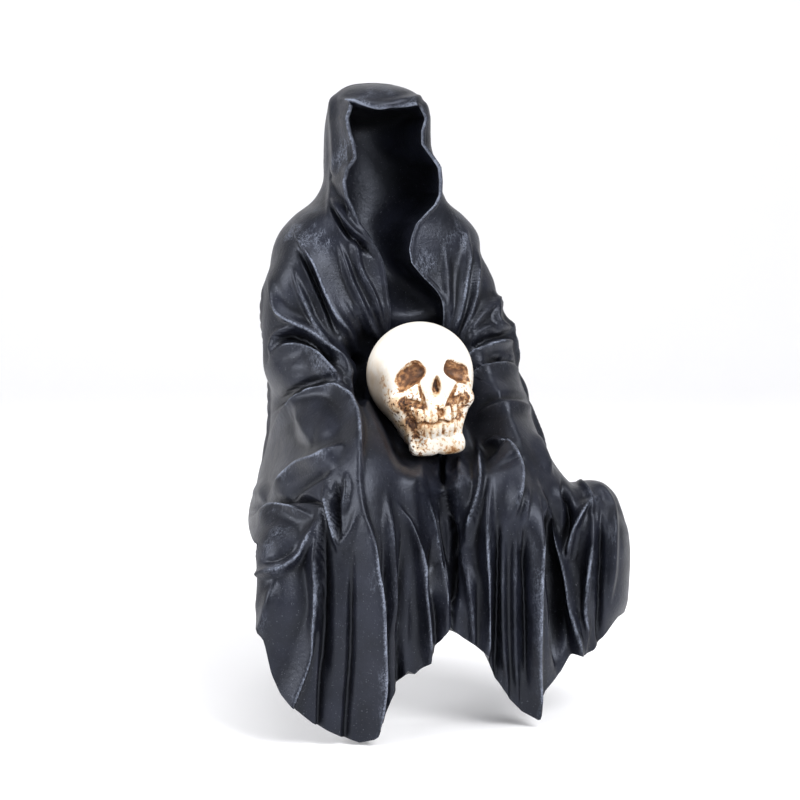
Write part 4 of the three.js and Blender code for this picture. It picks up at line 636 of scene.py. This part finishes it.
def back_folds():
    """Folds of the back, seen from straight behind.

    They are a hem across the shoulders, two creases of the hood, and a fan of eight down to the seat.
    """
    folds = [
        ([(-17.0, 60.0), (-12.0, 56.0), (-5.0, 53.6), (0.0, 53.0), (5.0, 53.6), (12.0, 56.0), (17.0, 60.0)],
         -1.6, 1.0, 1.6),
        ([(-10.0, 66.0), (-4.0, 61.6), (4.0, 61.2), (10.0, 65.0)], 0.9, 1.8, 1.8),
        ([(-8.0, 76.0), (-2.0, 70.0), (6.0, 71.0), (10.0, 76.0)], 0.7, 2.0, 2.0),
    ]
    for k in range(8):
        share = (k - 3.5) / 3.5
        bow = 1.6 * np.sin(2.4 * k)
        path = [(13.5 * share, 52.0 - 3.0 * share**2), (16.5 * share + bow, 28.0), (20.5 * share, -6.0)]
        folds.append((path, 1.5 + 0.4 * np.cos(1.7 * k), 2.0 + 0.6 * (k % 2), 2.8))
    return folds


def side_folds(toward_front):
    """Folds of one side, seen straight from it: each falls from the shoulder and bows out behind."""
    folds = []
    for k in range(3):
        top, foot = 4.0 - 6.0 * k, 7.0 - 9.0 * k
        path = [(top, 51.0), (top - 2.5, 36.0), (foot - 2.0, 18.0), (foot, -4.0)]
        path = [(toward_front * right, up) for right, up in path]
        folds.append((path, 2.2 - 0.3 * k, 2.6, 2.2))
    return folds


def seat(rings):
    """Sets the robe on the shelf: each column lies flat on top, and from the edge on hangs before it."""
    out = rings.copy()
    hangs = np.zeros(rings.shape[1], bool)
    for row in range(len(out)):
        y, z = out[row, :, 1], out[row, :, 2]
        below = (z < 0) & (hangs | (-z > y - SHELF_EDGE_Y))
        turned = below & ~hangs
        if row:
            out[row - 1, turned, 1] = np.minimum(out[row - 1, turned, 1], SHELF_EDGE_Y)
        hangs = hangs | below
        out[row, :, 1] = np.where(below, np.minimum(y, SHELF_EDGE_Y), y)
        out[row, :, 2] = np.where(below, z, np.maximum(z, 0.0))
    return out


def skull_axes():
    """The skull's left, back and up as columns: a turn about the upright, after a lean to one side."""
    t, a = np.radians(SKULL_TURN), np.radians(SKULL_LEAN)
    turn = np.array([[np.cos(t), -np.sin(t), 0], [np.sin(t), np.cos(t), 0], [0, 0, 1]])
    lean = np.array([[np.cos(a), 0, np.sin(a)], [0, 1, 0], [-np.sin(a), 0, np.cos(a)]])
    return turn @ lean


def lump(p, centre, radii, power=2.0, tilt=0.0):
    """A rounded block as a field: below 0 inside. Power 2 is an ellipsoid, and more is squarer.

    It may be tilted in the plane of the face.
    """
    q = p - np.asarray(centre)
    c, s = np.cos(np.radians(tilt)), np.sin(np.radians(tilt))
    q = np.stack([q[..., 0] * c + q[..., 2] * s, q[..., 1], q[..., 2] * c - q[..., 0] * s], -1)
    q = np.abs(q / np.asarray(radii)) + 1e-9
    return ((q**power).sum(-1) ** (1 / power) - 1) * min(radii)


def join(fields, soft):
    """Several fields as one body, with fillets about as large as soft."""
    return -soft * np.log(sum(np.exp(-np.clip(f, -20, 20) / soft) for f in fields))


def cut(body, tool, soft):
    """A body without what lies inside the tool, with edges rounded by about soft."""
    return soft * np.log(np.exp(np.clip(body, -20, 20) / soft) + np.exp(-np.clip(tool, -20, 20) / soft))


def skull_envelope(p):
    """The skull without its hollows: braincase, face, cheekbones, and a jaw that narrows downwards."""
    half = np.stack([np.abs(p[..., 0]), p[..., 1], p[..., 2]], -1)
    jaw = p.copy()
    jaw[..., 0] *= 1 + 0.045 * np.clip(-4 - p[..., 2], 0, 8)
    return join([
        lump(p, (0, 1.5, 2.6), (10.3, 12.3, 10.3)),
        lump(p, (0, -3.0, -2.0), (7.4, 8.0, 6.5), 2.3),
        lump(jaw, (0, -3.4, -4.8), (6.4, 7.3, 6.5), 4.0),
        lump(half, (6.0, -6.4, -1.3), (2.3, 3.6, 1.9)),
    ], 0.5)


def skull_field(p):
    """The skull with its bones raised and its sockets, nose, cheeks, temples and jaw hollowed."""
    half = np.stack([np.abs(p[..., 0]), p[..., 1], p[..., 2]], -1)
    # muzzle, bridge of the nose, and the two lobes of the chin
    body = join([
        skull_envelope(p),
        lump(p, (0, -9.6, -4.0), (4.0, 2.2, 3.4), 3.0),
        lump(p, (0, -10.0, 3.0), (1.2, 2.5, 3.2)),
        lump(half, (2.4, -9.3, -9.6), (3.0, 1.7, 1.9), 3.0),
    ], 0.35)
    for soft, *block in EYE_CUTS:
        body = cut(body, lump(p, *block), soft)
    # a notch under each cheekbone
    body = cut(body, lump(half, (4.6, -10.9, -1.1), (2.0, 1.0, 0.7), 2.2, 24.0), 0.3)
    # the nose is wide below and narrow above
    nose = p - np.array([0, -12.3, 2.0])
    nose[..., 0] = nose[..., 0] * (1 + 0.38 * np.clip(nose[..., 2], -0.8, 2.4))
    body = cut(body, lump(nose, (0, 0, 0), (0.75, 2.0, 1.8), 2.4), 0.1)
    for soft, *block in SIDE_CUTS:
        body = cut(body, lump(p, *block), soft)
    return body


def reach(directions, field, far=22.0):
    """The distance from the skull's centre to its surface along each direction, by halving."""
    low = np.zeros(directions.shape[:-1])
    high = np.full(directions.shape[:-1], far)
    for _ in range(20):
        middle = (low + high) / 2
        inside = field(directions * middle[..., None]) < 0
        low = np.where(inside, middle, low)
        high = np.where(inside, high, middle)
    return (low + high) / 2


def tooth_rows(p):
    """How far the two rows of teeth stand out, and how deep and dark the gaps between them are.

    Each row is a band across the mouth, cut into teeth by a narrow power of a cosine. One tooth is missing.
    The gaps are darkest at the roots.
    """
    x, y, z = np.moveaxis(p, -1, 0)
    front = np.clip((-y - 6.6) / 1.6, 0, 1) * np.clip((4.4 - np.abs(x)) / 0.7, 0, 1)
    up = z - (MOUTH_Z + 0.05 * x + 0.25 * np.sin(1.9 * x + 0.6))
    upper = np.clip(1 - ((up - UPPER_AT) / UPPER_HALF) ** 4, 0, 1)
    lower = np.clip(1 - ((up - LOWER_AT) / LOWER_HALF) ** 4, 0, 1)
    gaps_above = np.abs(np.cos(np.pi * x / UPPER_PITCH)) ** 8 * (0.6 + 0.4 * np.sin(2.7 * x + 1.0))
    gaps_below = np.abs(np.cos(np.pi * (x + 0.4) / LOWER_PITCH)) ** 6 * (0.6 + 0.4 * np.sin(2.1 * x))
    line = bell(up, 0.3)
    missing = np.exp(-(((x - 0.7) / 0.55) ** 2 + ((z + 3.1) / 0.75) ** 2) ** 2)
    rows = UPPER_RELIEF * upper * (1 - GAP_DIP * gaps_above)
    rows = rows + LOWER_RELIEF * lower * (1 - GAP_DIP * gaps_below)
    stained = 0.4 * bell(up, 1.3) * (0.4 + 0.6 * smoothstep(1.5, -2.5, x))
    above = upper * gaps_above * (0.55 + 0.9 * bell(up - 2.5, 0.5))
    below = lower * gaps_below * (0.35 + 1.3 * bell(up + 2.3, 0.5))
    dark = np.max([above, below, line, missing, stained], axis=0)
    return front * (rows - 0.8 * line - 1.2 * missing), front * dark


def clear_skull(rings):
    """Moves cloth out of the skull's room, straight away from the skull's centre."""
    axes = skull_axes()
    q = (rings - SKULL_AT) @ axes
    r = np.linalg.norm(q, axis=-1)
    near = r < 20
    way = q[near] / r[near][:, None]
    room = reach(way, skull_envelope) + SKULL_GAP
    out = rings.copy()
    out[near] = (way * np.maximum(r[near], room)[:, None]) @ axes.T + SKULL_AT
    return out


def grid_quads(start, rows, columns):
    """The quads between closed rings of points, which are numbered ring by ring from start on."""
    r, c = np.arange(rows - 1)[:, None], np.arange(columns)[None, :]
    a = start + r * columns + c
    b = start + r * columns + (c + 1) % columns
    return np.stack([a, a + columns, b + columns, b], -1).reshape(-1, 4)


def mesh_object(name, points, quads, triangles, values, ring=None):
    """A smooth mesh object in metres, with one number per point for each named value.

    Where ring gives the first point of its last ring, the edges along that ring stay crisp.
    """
    mesh = bpy.data.meshes.new(name)
    corners = np.concatenate([quads.ravel(), triangles.ravel()]).astype(np.int32)
    sizes = np.concatenate([np.full(len(quads), 4), np.full(len(triangles), 3)])
    mesh.vertices.add(len(points))
    mesh.vertices.foreach_set("co", (points * MM).astype(np.float32).ravel())
    mesh.loops.add(len(corners))
    mesh.loops.foreach_set("vertex_index", corners)
    mesh.polygons.add(len(sizes))
    mesh.polygons.foreach_set("loop_start", np.concatenate([[0], np.cumsum(sizes)[:-1]]).astype(np.int32))
    mesh.polygons.foreach_set("use_smooth", np.ones(len(sizes), bool))
    mesh.update(calc_edges=True)
    for key, numbers in values.items():
        mesh.attributes.new(key, "FLOAT", "POINT").data.foreach_set("value", numbers.astype(np.float32))
    mesh.validate()
    if ring is not None:
        ends = np.zeros(2 * len(mesh.edges), np.int32)
        mesh.edges.foreach_get("vertices", ends)
        ends = ends.reshape(-1, 2)
        apart = np.abs(ends[:, 0] - ends[:, 1])
        along = (ends.min(1) >= ring) & ((apart == 1) | (apart == len(points) - ring - 1))
        mesh.attributes.new("sharp_edge", "BOOLEAN", "EDGE").data.foreach_set("value", along)
    piece = bpy.data.objects.new(name, mesh)
    bpy.context.scene.collection.objects.link(piece)
    return piece


def ease_crowded(rings):
    """Smooths the rings around CROWDED_AT, in full up to half the reach, where they hang over the edge."""
    place = seen(rings)
    distance = np.hypot(place[..., 0] - CROWDED_AT[0], place[..., 1] - CROWDED_AT[1])
    crowded = smoothstep(CROWDED_REACH, 0.5 * CROWDED_REACH, distance)
    crowded = crowded * smoothstep(CROWDED_Y + 1, CROWDED_Y - 1, rings[..., 1])
    return rings + crowded[..., None] * (blur(rings, CROWDED_BLUR) - rings)


def brushed_patches(rings, n):
    """How strongly flat cloth is brushed: round patches with soft edges on what faces the front view."""
    place = seen(rings)
    brushed = np.zeros(rings.shape[:2])
    for right, up, radius, strength in BRUSHED:
        distance = np.hypot(place[..., 0] - right, place[..., 1] - up)
        brushed = np.maximum(brushed, strength * smoothstep(BRUSH_FADE * radius, 0.0, distance))
    return brushed * smoothstep(-0.2, 0.2, blur(n, FACING_BLUR) @ view_axes()[2])


def hem_strip(columns):
    """The triangles across the hem, in which each front point meets the back point at the same share."""
    i = np.arange(ROBE_FRONT)
    partner = (columns - np.round(i * ROBE_BACK / ROBE_FRONT).astype(int)) % columns
    following = (columns - np.round((i + 1) * ROBE_BACK / ROBE_FRONT).astype(int)) % columns
    strip = np.concatenate([
        np.stack([i, partner, i + 1], -1),
        np.stack([i + 1, partner, following], -1),
    ])
    empty = (strip[:, 0] == strip[:, 1]) | (strip[:, 1] == strip[:, 2]) | (strip[:, 0] == strip[:, 2])
    return strip[~empty]


def make_robe():
    """The robe: rings from the crown to the hem, folded, and closed by a fan above and a strip below.

    The dry brush catches what stands out from its surroundings, and what lies deep is painted darker, as
    painted shade.
    """
    rings, at, opened, first, last = robe_rings()
    rings = lap(hang(rings, at))
    shown = np.ones(rings.shape[:2])
    shown[:, first + 1:last] = 1 - opened[:, None]
    rings, _ = carve_folds(rings, MASSES, shown, keen=False)
    rings, line = carve_folds(rings, FOLDS, shown, keen=True)
    unseen = smoothstep(0.15, -0.25, blur(normals(rings), FACING_BLUR) @ view_axes()[2]) * shown
    for folds, turn in ((back_folds(), 180.0), (side_folds(1), -100.0), (side_folds(-1), 80.0)):
        rings, plain_line = carve_folds(rings, folds, unseen, True, turn, 0.0)
        line = np.maximum(line, PLAIN_LINE * plain_line)
    rings, hem_line = roll_edges(ease_crowded(rings), opened, first, last)
    rings = seat(clear_skull(rings))

    n = normals(rings)
    broad = ((rings - blur(rings, AROUND_BLUR)) * n).sum(-1)
    inside = np.zeros(rings.shape[:2])
    inside[:, first:last] = smoothstep(0.08, 0.3, opened)[:, None]
    values = {
        "crest": np.maximum(line, hem_line),
        "swell": np.clip(broad / np.quantile(broad, 0.95), 0, 1),
        # painted shade: how far a point lies below its surroundings, which the paint darkens towards black
        "sunk": np.clip(-broad / 0.5, 0, 1),
        "brushed": brushed_patches(rings, n),
        "inside": inside,
    }
    values = {key: np.concatenate([[0.0], v.ravel()]) for key, v in values.items()}

    rows, columns = rings.shape[:2]
    pole = rings[0].mean(0)
    pole[2] = rings[0, :, 2].max() + 0.02
    points = np.concatenate([pole[None], rings.reshape(-1, 3)])
    edge = np.arange(columns)
    fan = np.stack([0 * edge, 1 + edge, 1 + (edge + 1) % columns], -1)
    hem = len(points) - columns
    triangles = np.concatenate([fan, hem_strip(columns) + hem])
    return mesh_object("fine_robe", points, grid_quads(1, rows, columns), triangles, values, hem)


def make_skull():
    """The skull: rings around the axis through the face, closest together on the face."""
    share = np.linspace(0, 1, SKULL_RINGS + 1)[1:-1]
    polar = (np.pi * (0.55 * share + 0.45 * share**3))[:, None]
    around = np.linspace(0, 2 * np.pi, SKULL_AROUND, endpoint=False)[None, :]
    sideways, upwards = np.sin(polar) * np.cos(around), np.sin(polar) * np.sin(around)
    ways = np.stack([sideways, -np.cos(polar) + 0 * around, upwards], -1)
    ways = np.concatenate([[[0, -1.0, 0], [0, 1.0, 0]], ways.reshape(-1, 3)])
    length = reach(ways, skull_field)
    smooth = reach(ways, skull_envelope)
    teeth, gaps = tooth_rows(ways * length[:, None])
    own = ways * (length + teeth)[:, None]
    points = own @ skull_axes().T + SKULL_AT
    hollow = np.clip((smooth - length - teeth) / HOLLOW_DEPTH, 0, 1)
    hollow = hollow * (0.4 + 0.6 * smoothstep(-3.4, -0.6, own[:, 2]))
    j = np.arange(SKULL_AROUND)
    rim = 2 + (len(polar) - 1) * SKULL_AROUND
    front = np.stack([0 * j, 2 + j, 2 + (j + 1) % SKULL_AROUND], -1)
    rear = np.stack([0 * j + 1, rim + (j + 1) % SKULL_AROUND, rim + j], -1)
    # the wash is heavier low on the face, and on the side that was turned away when it was wiped
    face = smoothstep(3.0, -2.0, own[:, 2]) * smoothstep(-2.0, -7.0, own[:, 1])
    left_cheek = smoothstep(3.6, 5.2, own[:, 0]) * smoothstep(-6, -3, own[:, 2])
    beside = np.maximum(smoothstep(-2.0, -4.5, own[:, 0]), left_cheek)
    face = face * (0.25 + 0.75 * beside)
    chin = ((own[:, 0] - 2.4) / 1.6) ** 2 + ((own[:, 2] + 10.8) / 0.8) ** 2
    nose = (own[:, 0] / 0.8) ** 2 + ((own[:, 2] - 1.9) / 1.7) ** 2
    spots = np.maximum(0.7 * np.exp(-chin), np.exp(-nose**2))
    gaps = np.maximum(gaps, spots * smoothstep(-6, -9, own[:, 1]))
    # painted shade: the temple on the skull's right side is painted darker and greyer, where shade falls
    temple = smoothstep(-7.6, -3.0, own[:, 1]) * smoothstep(7.5, 2.5, own[:, 1])
    side = temple * smoothstep(-5.0, -8.0, own[:, 0]) * smoothstep(8.0, 2.5, own[:, 2])
    values = {"hollow": hollow, "gaps": gaps, "face": face, "side": side}
    quads = grid_quads(2, len(polar), SKULL_AROUND)
    return mesh_object("fine_skull", points, quads, np.concatenate([front, rear]), values)


class Wire:
    """A socket of a material. Arithmetic on it adds Math nodes."""

    def __init__(self, tree, socket=None):
        self.tree = tree
        self.socket = socket

    def node(self, kind, settings=None, inputs=None, output=0):
        """Adds a node: its settings first, then values or wires for its inputs. Gives one output."""
        made = self.tree.nodes.new(kind)
        for name, value in (settings or {}).items():
            if name == "stops":
                ramp = made.color_ramp
                while len(ramp.elements) < len(value):
                    ramp.elements.new(0.5)
                for element, (position, colour) in zip(ramp.elements, value):
                    element.position = position
                    element.color = colour
            else:
                setattr(made, name, value)
        for name, value in (inputs or {}).items():
            if isinstance(value, Wire):
                self.tree.links.new(value.socket, made.inputs[name])
            else:
                made.inputs[name].default_value = value
        return Wire(self.tree, made.outputs[output])

    def maths(self, operation, a, b):
        """A Math node on two values or wires."""
        return self.node("ShaderNodeMath", {"operation": operation}, {0: a, 1: b})

    def __add__(self, other):
        return self.maths("ADD", self, other)

    __radd__ = __add__

    def __sub__(self, other):
        return self.maths("SUBTRACT", self, other)

    def __rsub__(self, other):
        return self.maths("SUBTRACT", other, self)

    def __mul__(self, other):
        return self.maths("MULTIPLY", self, other)

    __rmul__ = __mul__

    def size(self):
        """The value without its sign."""
        return self.maths("ABSOLUTE", self, 0.0)

    def step(self, low, high):
        """A smooth step from 0 at low to 1 at high."""
        settings = {"interpolation_type": "SMOOTHSTEP"}
        return self.node("ShaderNodeMapRange", settings, {"Value": self, "From Min": low, "From Max": high})


def noise(start, scale, detail=3.0, roughness=0.55, stretch=1.0):
    """A noise value on object coordinates, about 0.5 on average, with this many features per metre.

    Its features are longer upwards by the factor stretch.
    """
    place = start.node("ShaderNodeTexCoord", output="Object")
    shape = {0: place, 1: (1.0, 1.0, 1.0 / stretch)}
    place = start.node("ShaderNodeVectorMath", {"operation": "MULTIPLY"}, shape)
    inputs = {"Vector": place, "Scale": scale, "Detail": detail, "Roughness": roughness}
    return start.node("ShaderNodeTexNoise", {"noise_dimensions": "3D"}, inputs)


def value_of(start, name):
    """A value that the mesh carries for each point."""
    return start.node("ShaderNodeAttribute", {"attribute_name": name}, output="Fac")


def blend(start, share, one, two):
    """A colour between two, by a share from 0 to 1."""
    return start.node("ShaderNodeMix", {"data_type": "RGBA"}, {0: share, 6: one, 7: two}, 2)


def painted(name, colour, roughness, bump, specular, tint=(1, 1, 1, 1)):
    """A material whose colour, roughness and bump height are wires made by three small functions."""
    material = bpy.data.materials.new(name)
    material.use_nodes = True
    tree = material.node_tree
    shader = tree.nodes["Principled BSDF"]
    start = Wire(tree)
    shader.inputs["Specular IOR Level"].default_value = specular
    shader.inputs["Specular Tint"].default_value = tint
    tree.links.new(colour(start).socket, shader.inputs["Base Color"])
    tree.links.new(roughness(start).socket, shader.inputs["Roughness"])
    height, strength, distance = bump(start)
    inputs = {"Height": height, "Strength": strength, "Distance": distance}
    normal = start.node("ShaderNodeBump", None, inputs)
    tree.links.new(normal.socket, shader.inputs["Normal"])
    return material


def robe_paint():
    """Black resin with a blue-grey dry brush: thin broken lines on crests, and scratches in patches; creases
    and hollows get painted shade.
    """

    def brush(start):
        outside = 1.0 - value_of(start, "inside")
        grain = noise(start, 2600.0, 3.0, 0.6).step(0.3, 0.7)
        crest = value_of(start, "crest")
        broken = noise(start, 240.0, 2.0, 0.5).step(0.36, 0.58) * 0.6 + 0.45
        line = (crest * 3.2 - 2.2 + grain * 0.3).step(0.6, 1.3) * broken
        # a scratch lies where a noise passes through a half
        scratch = 1.0 - (noise(start, 1700.0, 3.0, 0.7, 2.5) * 2.0 - 1.0).size() * 6.0
        patch = value_of(start, "swell") * 0.18 + value_of(start, "brushed") * 0.8 + crest * 0.42
        patch = patch * noise(start, 220.0, 4.0, 0.65, 2.0).step(0.38, 0.66)
        return (line + scratch.step(0.0, 1.0) * patch.step(0.1, 0.9) * (grain * 0.5 + 0.2)) * outside

    def dust(start):
        return noise(start, 3400.0, 1.0, 0.5).step(0.68, 0.77)

    def colour(start):
        cloud = noise(start, 160.0, 3.0, 0.5).step(0.35, 0.7)
        base = blend(start, cloud, (0.0030, 0.0034, 0.0062, 1), (0.0082, 0.0092, 0.0155, 1))
        # creases and hollows are painted near black, as painted shade
        deep = blend(start, value_of(start, "sunk"), base, (0.0015, 0.0015, 0.002, 1))
        dusty = blend(start, dust(start) * 0.4, deep, (0.16, 0.17, 0.2, 1))
        return blend(start, brush(start), dusty, (0.21, 0.235, 0.30, 1))

    def roughness(start):
        return brush(start) * 0.25 + noise(start, 500.0) * 0.16 + 0.3

    def bump(start):
        return noise(start, 1500.0, 4.0, 0.7) + noise(start, 550.0) * 0.8 + brush(start) * 0.6, 0.55, 0.00014

    return painted("robe_paint", colour, roughness, bump, 0.37, (0.78, 0.84, 1, 1))


def skull_paint():
    """Ivory resin with a brown wash in its hollows, its seams and the small pits of the lower face, and
    painted shade on one temple.
    """

    def stain(start):
        patchy = noise(start, 420.0, 4.0, 0.65).step(0.3, 0.7)
        fine = noise(start, 1100.0, 3.0, 0.6).step(0.3, 0.7)
        pits = noise(start, 1900.0, 1.0, 0.5).step(0.56, 0.64) * 0.75
        wash = noise(start, 330.0, 3.0, 0.6).step(0.42, 0.66) * 0.25
        # the hollows' edges waver, and are darkest just inside
        hollow = value_of(start, "hollow") + (fine - 0.5) * 0.16
        rim = 1.0 - (hollow - 0.32).size() * 5.0
        washed = hollow.step(0.1, 0.4) * (0.06 + patchy * 0.2 + fine * 0.4) + hollow.step(0.5, 1.0) * 0.3
        washed = washed + rim.step(0.0, 1.0) * fine * 0.35
        washed = washed + value_of(start, "gaps") * (0.2 + fine * 0.6)
        washed = washed + (pits + wash) * value_of(start, "face")
        # the temple's painted shade also adds a little to the wash
        return washed + value_of(start, "side") * patchy * 0.12 + patchy * 0.04

    def colour(start):
        stops = (
            (0.0, (0.76, 0.735, 0.69, 1)),
            (0.16, (0.64, 0.50, 0.34, 1)),
            (0.34, (0.40, 0.20, 0.08, 1)),
            (0.6, (0.15, 0.065, 0.028, 1)),
            (1.0, (0.035, 0.015, 0.008, 1)),
        )
        washed = start.node("ShaderNodeValToRGB", {"stops": stops}, {"Fac": stain(start)})
        # the temple is painted a dark grey-brown, as painted shade
        return blend(start, value_of(start, "side") * 0.85, washed, (0.16, 0.13, 0.105, 1))

    def roughness(start):
        return noise(start, 700.0) * 0.2 + 0.42

    def bump(start):
        return noise(start, 1300.0, 4.0, 0.6) - stain(start) * 0.8, 0.4, 0.0002

    return painted("skull_paint", colour, roughness, bump, 0.4)


def soft_light(name, turn, tilt, away, size, power):
    """A square lamp that faces the figure, at degrees around and above the view."""
    a, e = np.radians(VIEW_TURN + turn), np.radians(tilt)
    spot = np.array([np.sin(a) * np.cos(e), -np.cos(a) * np.cos(e), np.sin(e)]) * away
    lamp = bpy.data.lights.new(name, "AREA")
    lamp.size = size
    lamp.energy = power
    holder = bpy.data.objects.new(name, lamp)
    bpy.context.scene.collection.objects.link(holder)
    holder.location = spot
    holder.rotation_euler = (Vector((0, 0, 0.03)) - Vector(spot)).to_track_quat("-Z", "Y").to_euler()


def studio(floor_z):
    """A pale floor that sweeps up behind into a wall, white surroundings, three soft lamps and the camera.

    The sweep is a profile of floor, quarter circle and wall, carried sideways and turned to the view.
    """
    right, up, back = view_axes()
    level = np.array([back[0], back[1], 0.0])
    level = level / np.linalg.norm(level)
    bend = np.linspace(0, np.pi / 2, 24)
    wall = FLOOR_REAR - FLOOR_SWEEP
    run = np.concatenate([[FLOOR_NEAR, 0.3], FLOOR_REAR - FLOOR_SWEEP * np.sin(bend), [wall]])
    lift = np.concatenate([[0.0, 0.0], FLOOR_SWEEP * (1 - np.cos(bend)), [FLOOR_TOP]]) + floor_z
    profile = level[None, :] * run[:, None] + np.array([0, 0, 1.0]) * lift[:, None]
    sheet = np.stack([profile - FLOOR_HALF * right, profile + FLOOR_HALF * right], 1)
    count = len(profile)
    k = np.arange(count - 1)
    quads = np.stack([2 * k, 2 * k + 1, 2 * k + 3, 2 * k + 2], -1)
    floor = mesh_object("pale_floor", sheet.reshape(-1, 3) / MM, quads, np.zeros((0, 3), int), {})
    paint = bpy.data.materials.new("pale_paint")
    paint.use_nodes = True
    sockets = paint.node_tree.nodes["Principled BSDF"].inputs
    sockets["Base Color"].default_value = (0.88, 0.88, 0.9, 1)
    sockets["Emission Color"].default_value = (1, 1, 1, 1)
    sockets["Emission Strength"].default_value = 0.12
    sockets["Roughness"].default_value = 0.9
    floor.data.materials.append(paint)

    world = bpy.data.worlds.new("white_room")
    bpy.context.scene.world = world
    world.use_nodes = True
    world.node_tree.nodes["Background"].inputs["Color"].default_value = (1, 1, 1, 1)
    world.node_tree.nodes["Background"].inputs["Strength"].default_value = 0.3
    for lamp in LAMPS:
        soft_light(*lamp)

    camera = bpy.data.objects.new("camera", bpy.data.cameras.new("camera"))
    bpy.context.scene.collection.objects.link(camera)
    camera.data.lens = LENS
    camera.data.sensor_width = SENSOR
    camera.data.clip_start = 0.01
    eye = (right * VIEW_RIGHT + up * VIEW_UP + back * VIEW_DISTANCE) * MM
    camera.matrix_world = Matrix([
        (right[0], up[0], back[0], eye[0]),
        (right[1], up[1], back[1], eye[1]),
        (right[2], up[2], back[2], eye[2]),
        (0, 0, 0, 1),
    ])
    bpy.context.scene.camera = camera
    bpy.context.scene.view_settings.view_transform = "Standard"


def as_lists(corners):
    """The two corners of a box as plain lists of numbers."""
    return [[float(v) for v in corner] for corner in corners]


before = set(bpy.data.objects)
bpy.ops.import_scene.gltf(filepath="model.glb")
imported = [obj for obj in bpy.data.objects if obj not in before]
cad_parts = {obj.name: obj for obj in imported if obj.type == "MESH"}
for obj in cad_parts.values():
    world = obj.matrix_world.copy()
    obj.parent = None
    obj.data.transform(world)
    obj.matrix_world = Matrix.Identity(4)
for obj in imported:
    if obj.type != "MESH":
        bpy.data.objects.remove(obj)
cad_box = as_lists(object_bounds())

robe = make_robe()
robe.data.materials.append(robe_paint())
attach(robe, "root")
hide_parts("robe")

skull = make_skull()
skull.data.materials.append(skull_paint())
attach(skull, "root")
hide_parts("skull")

studio(cad_box[0][2] - FLOOR_GAP)
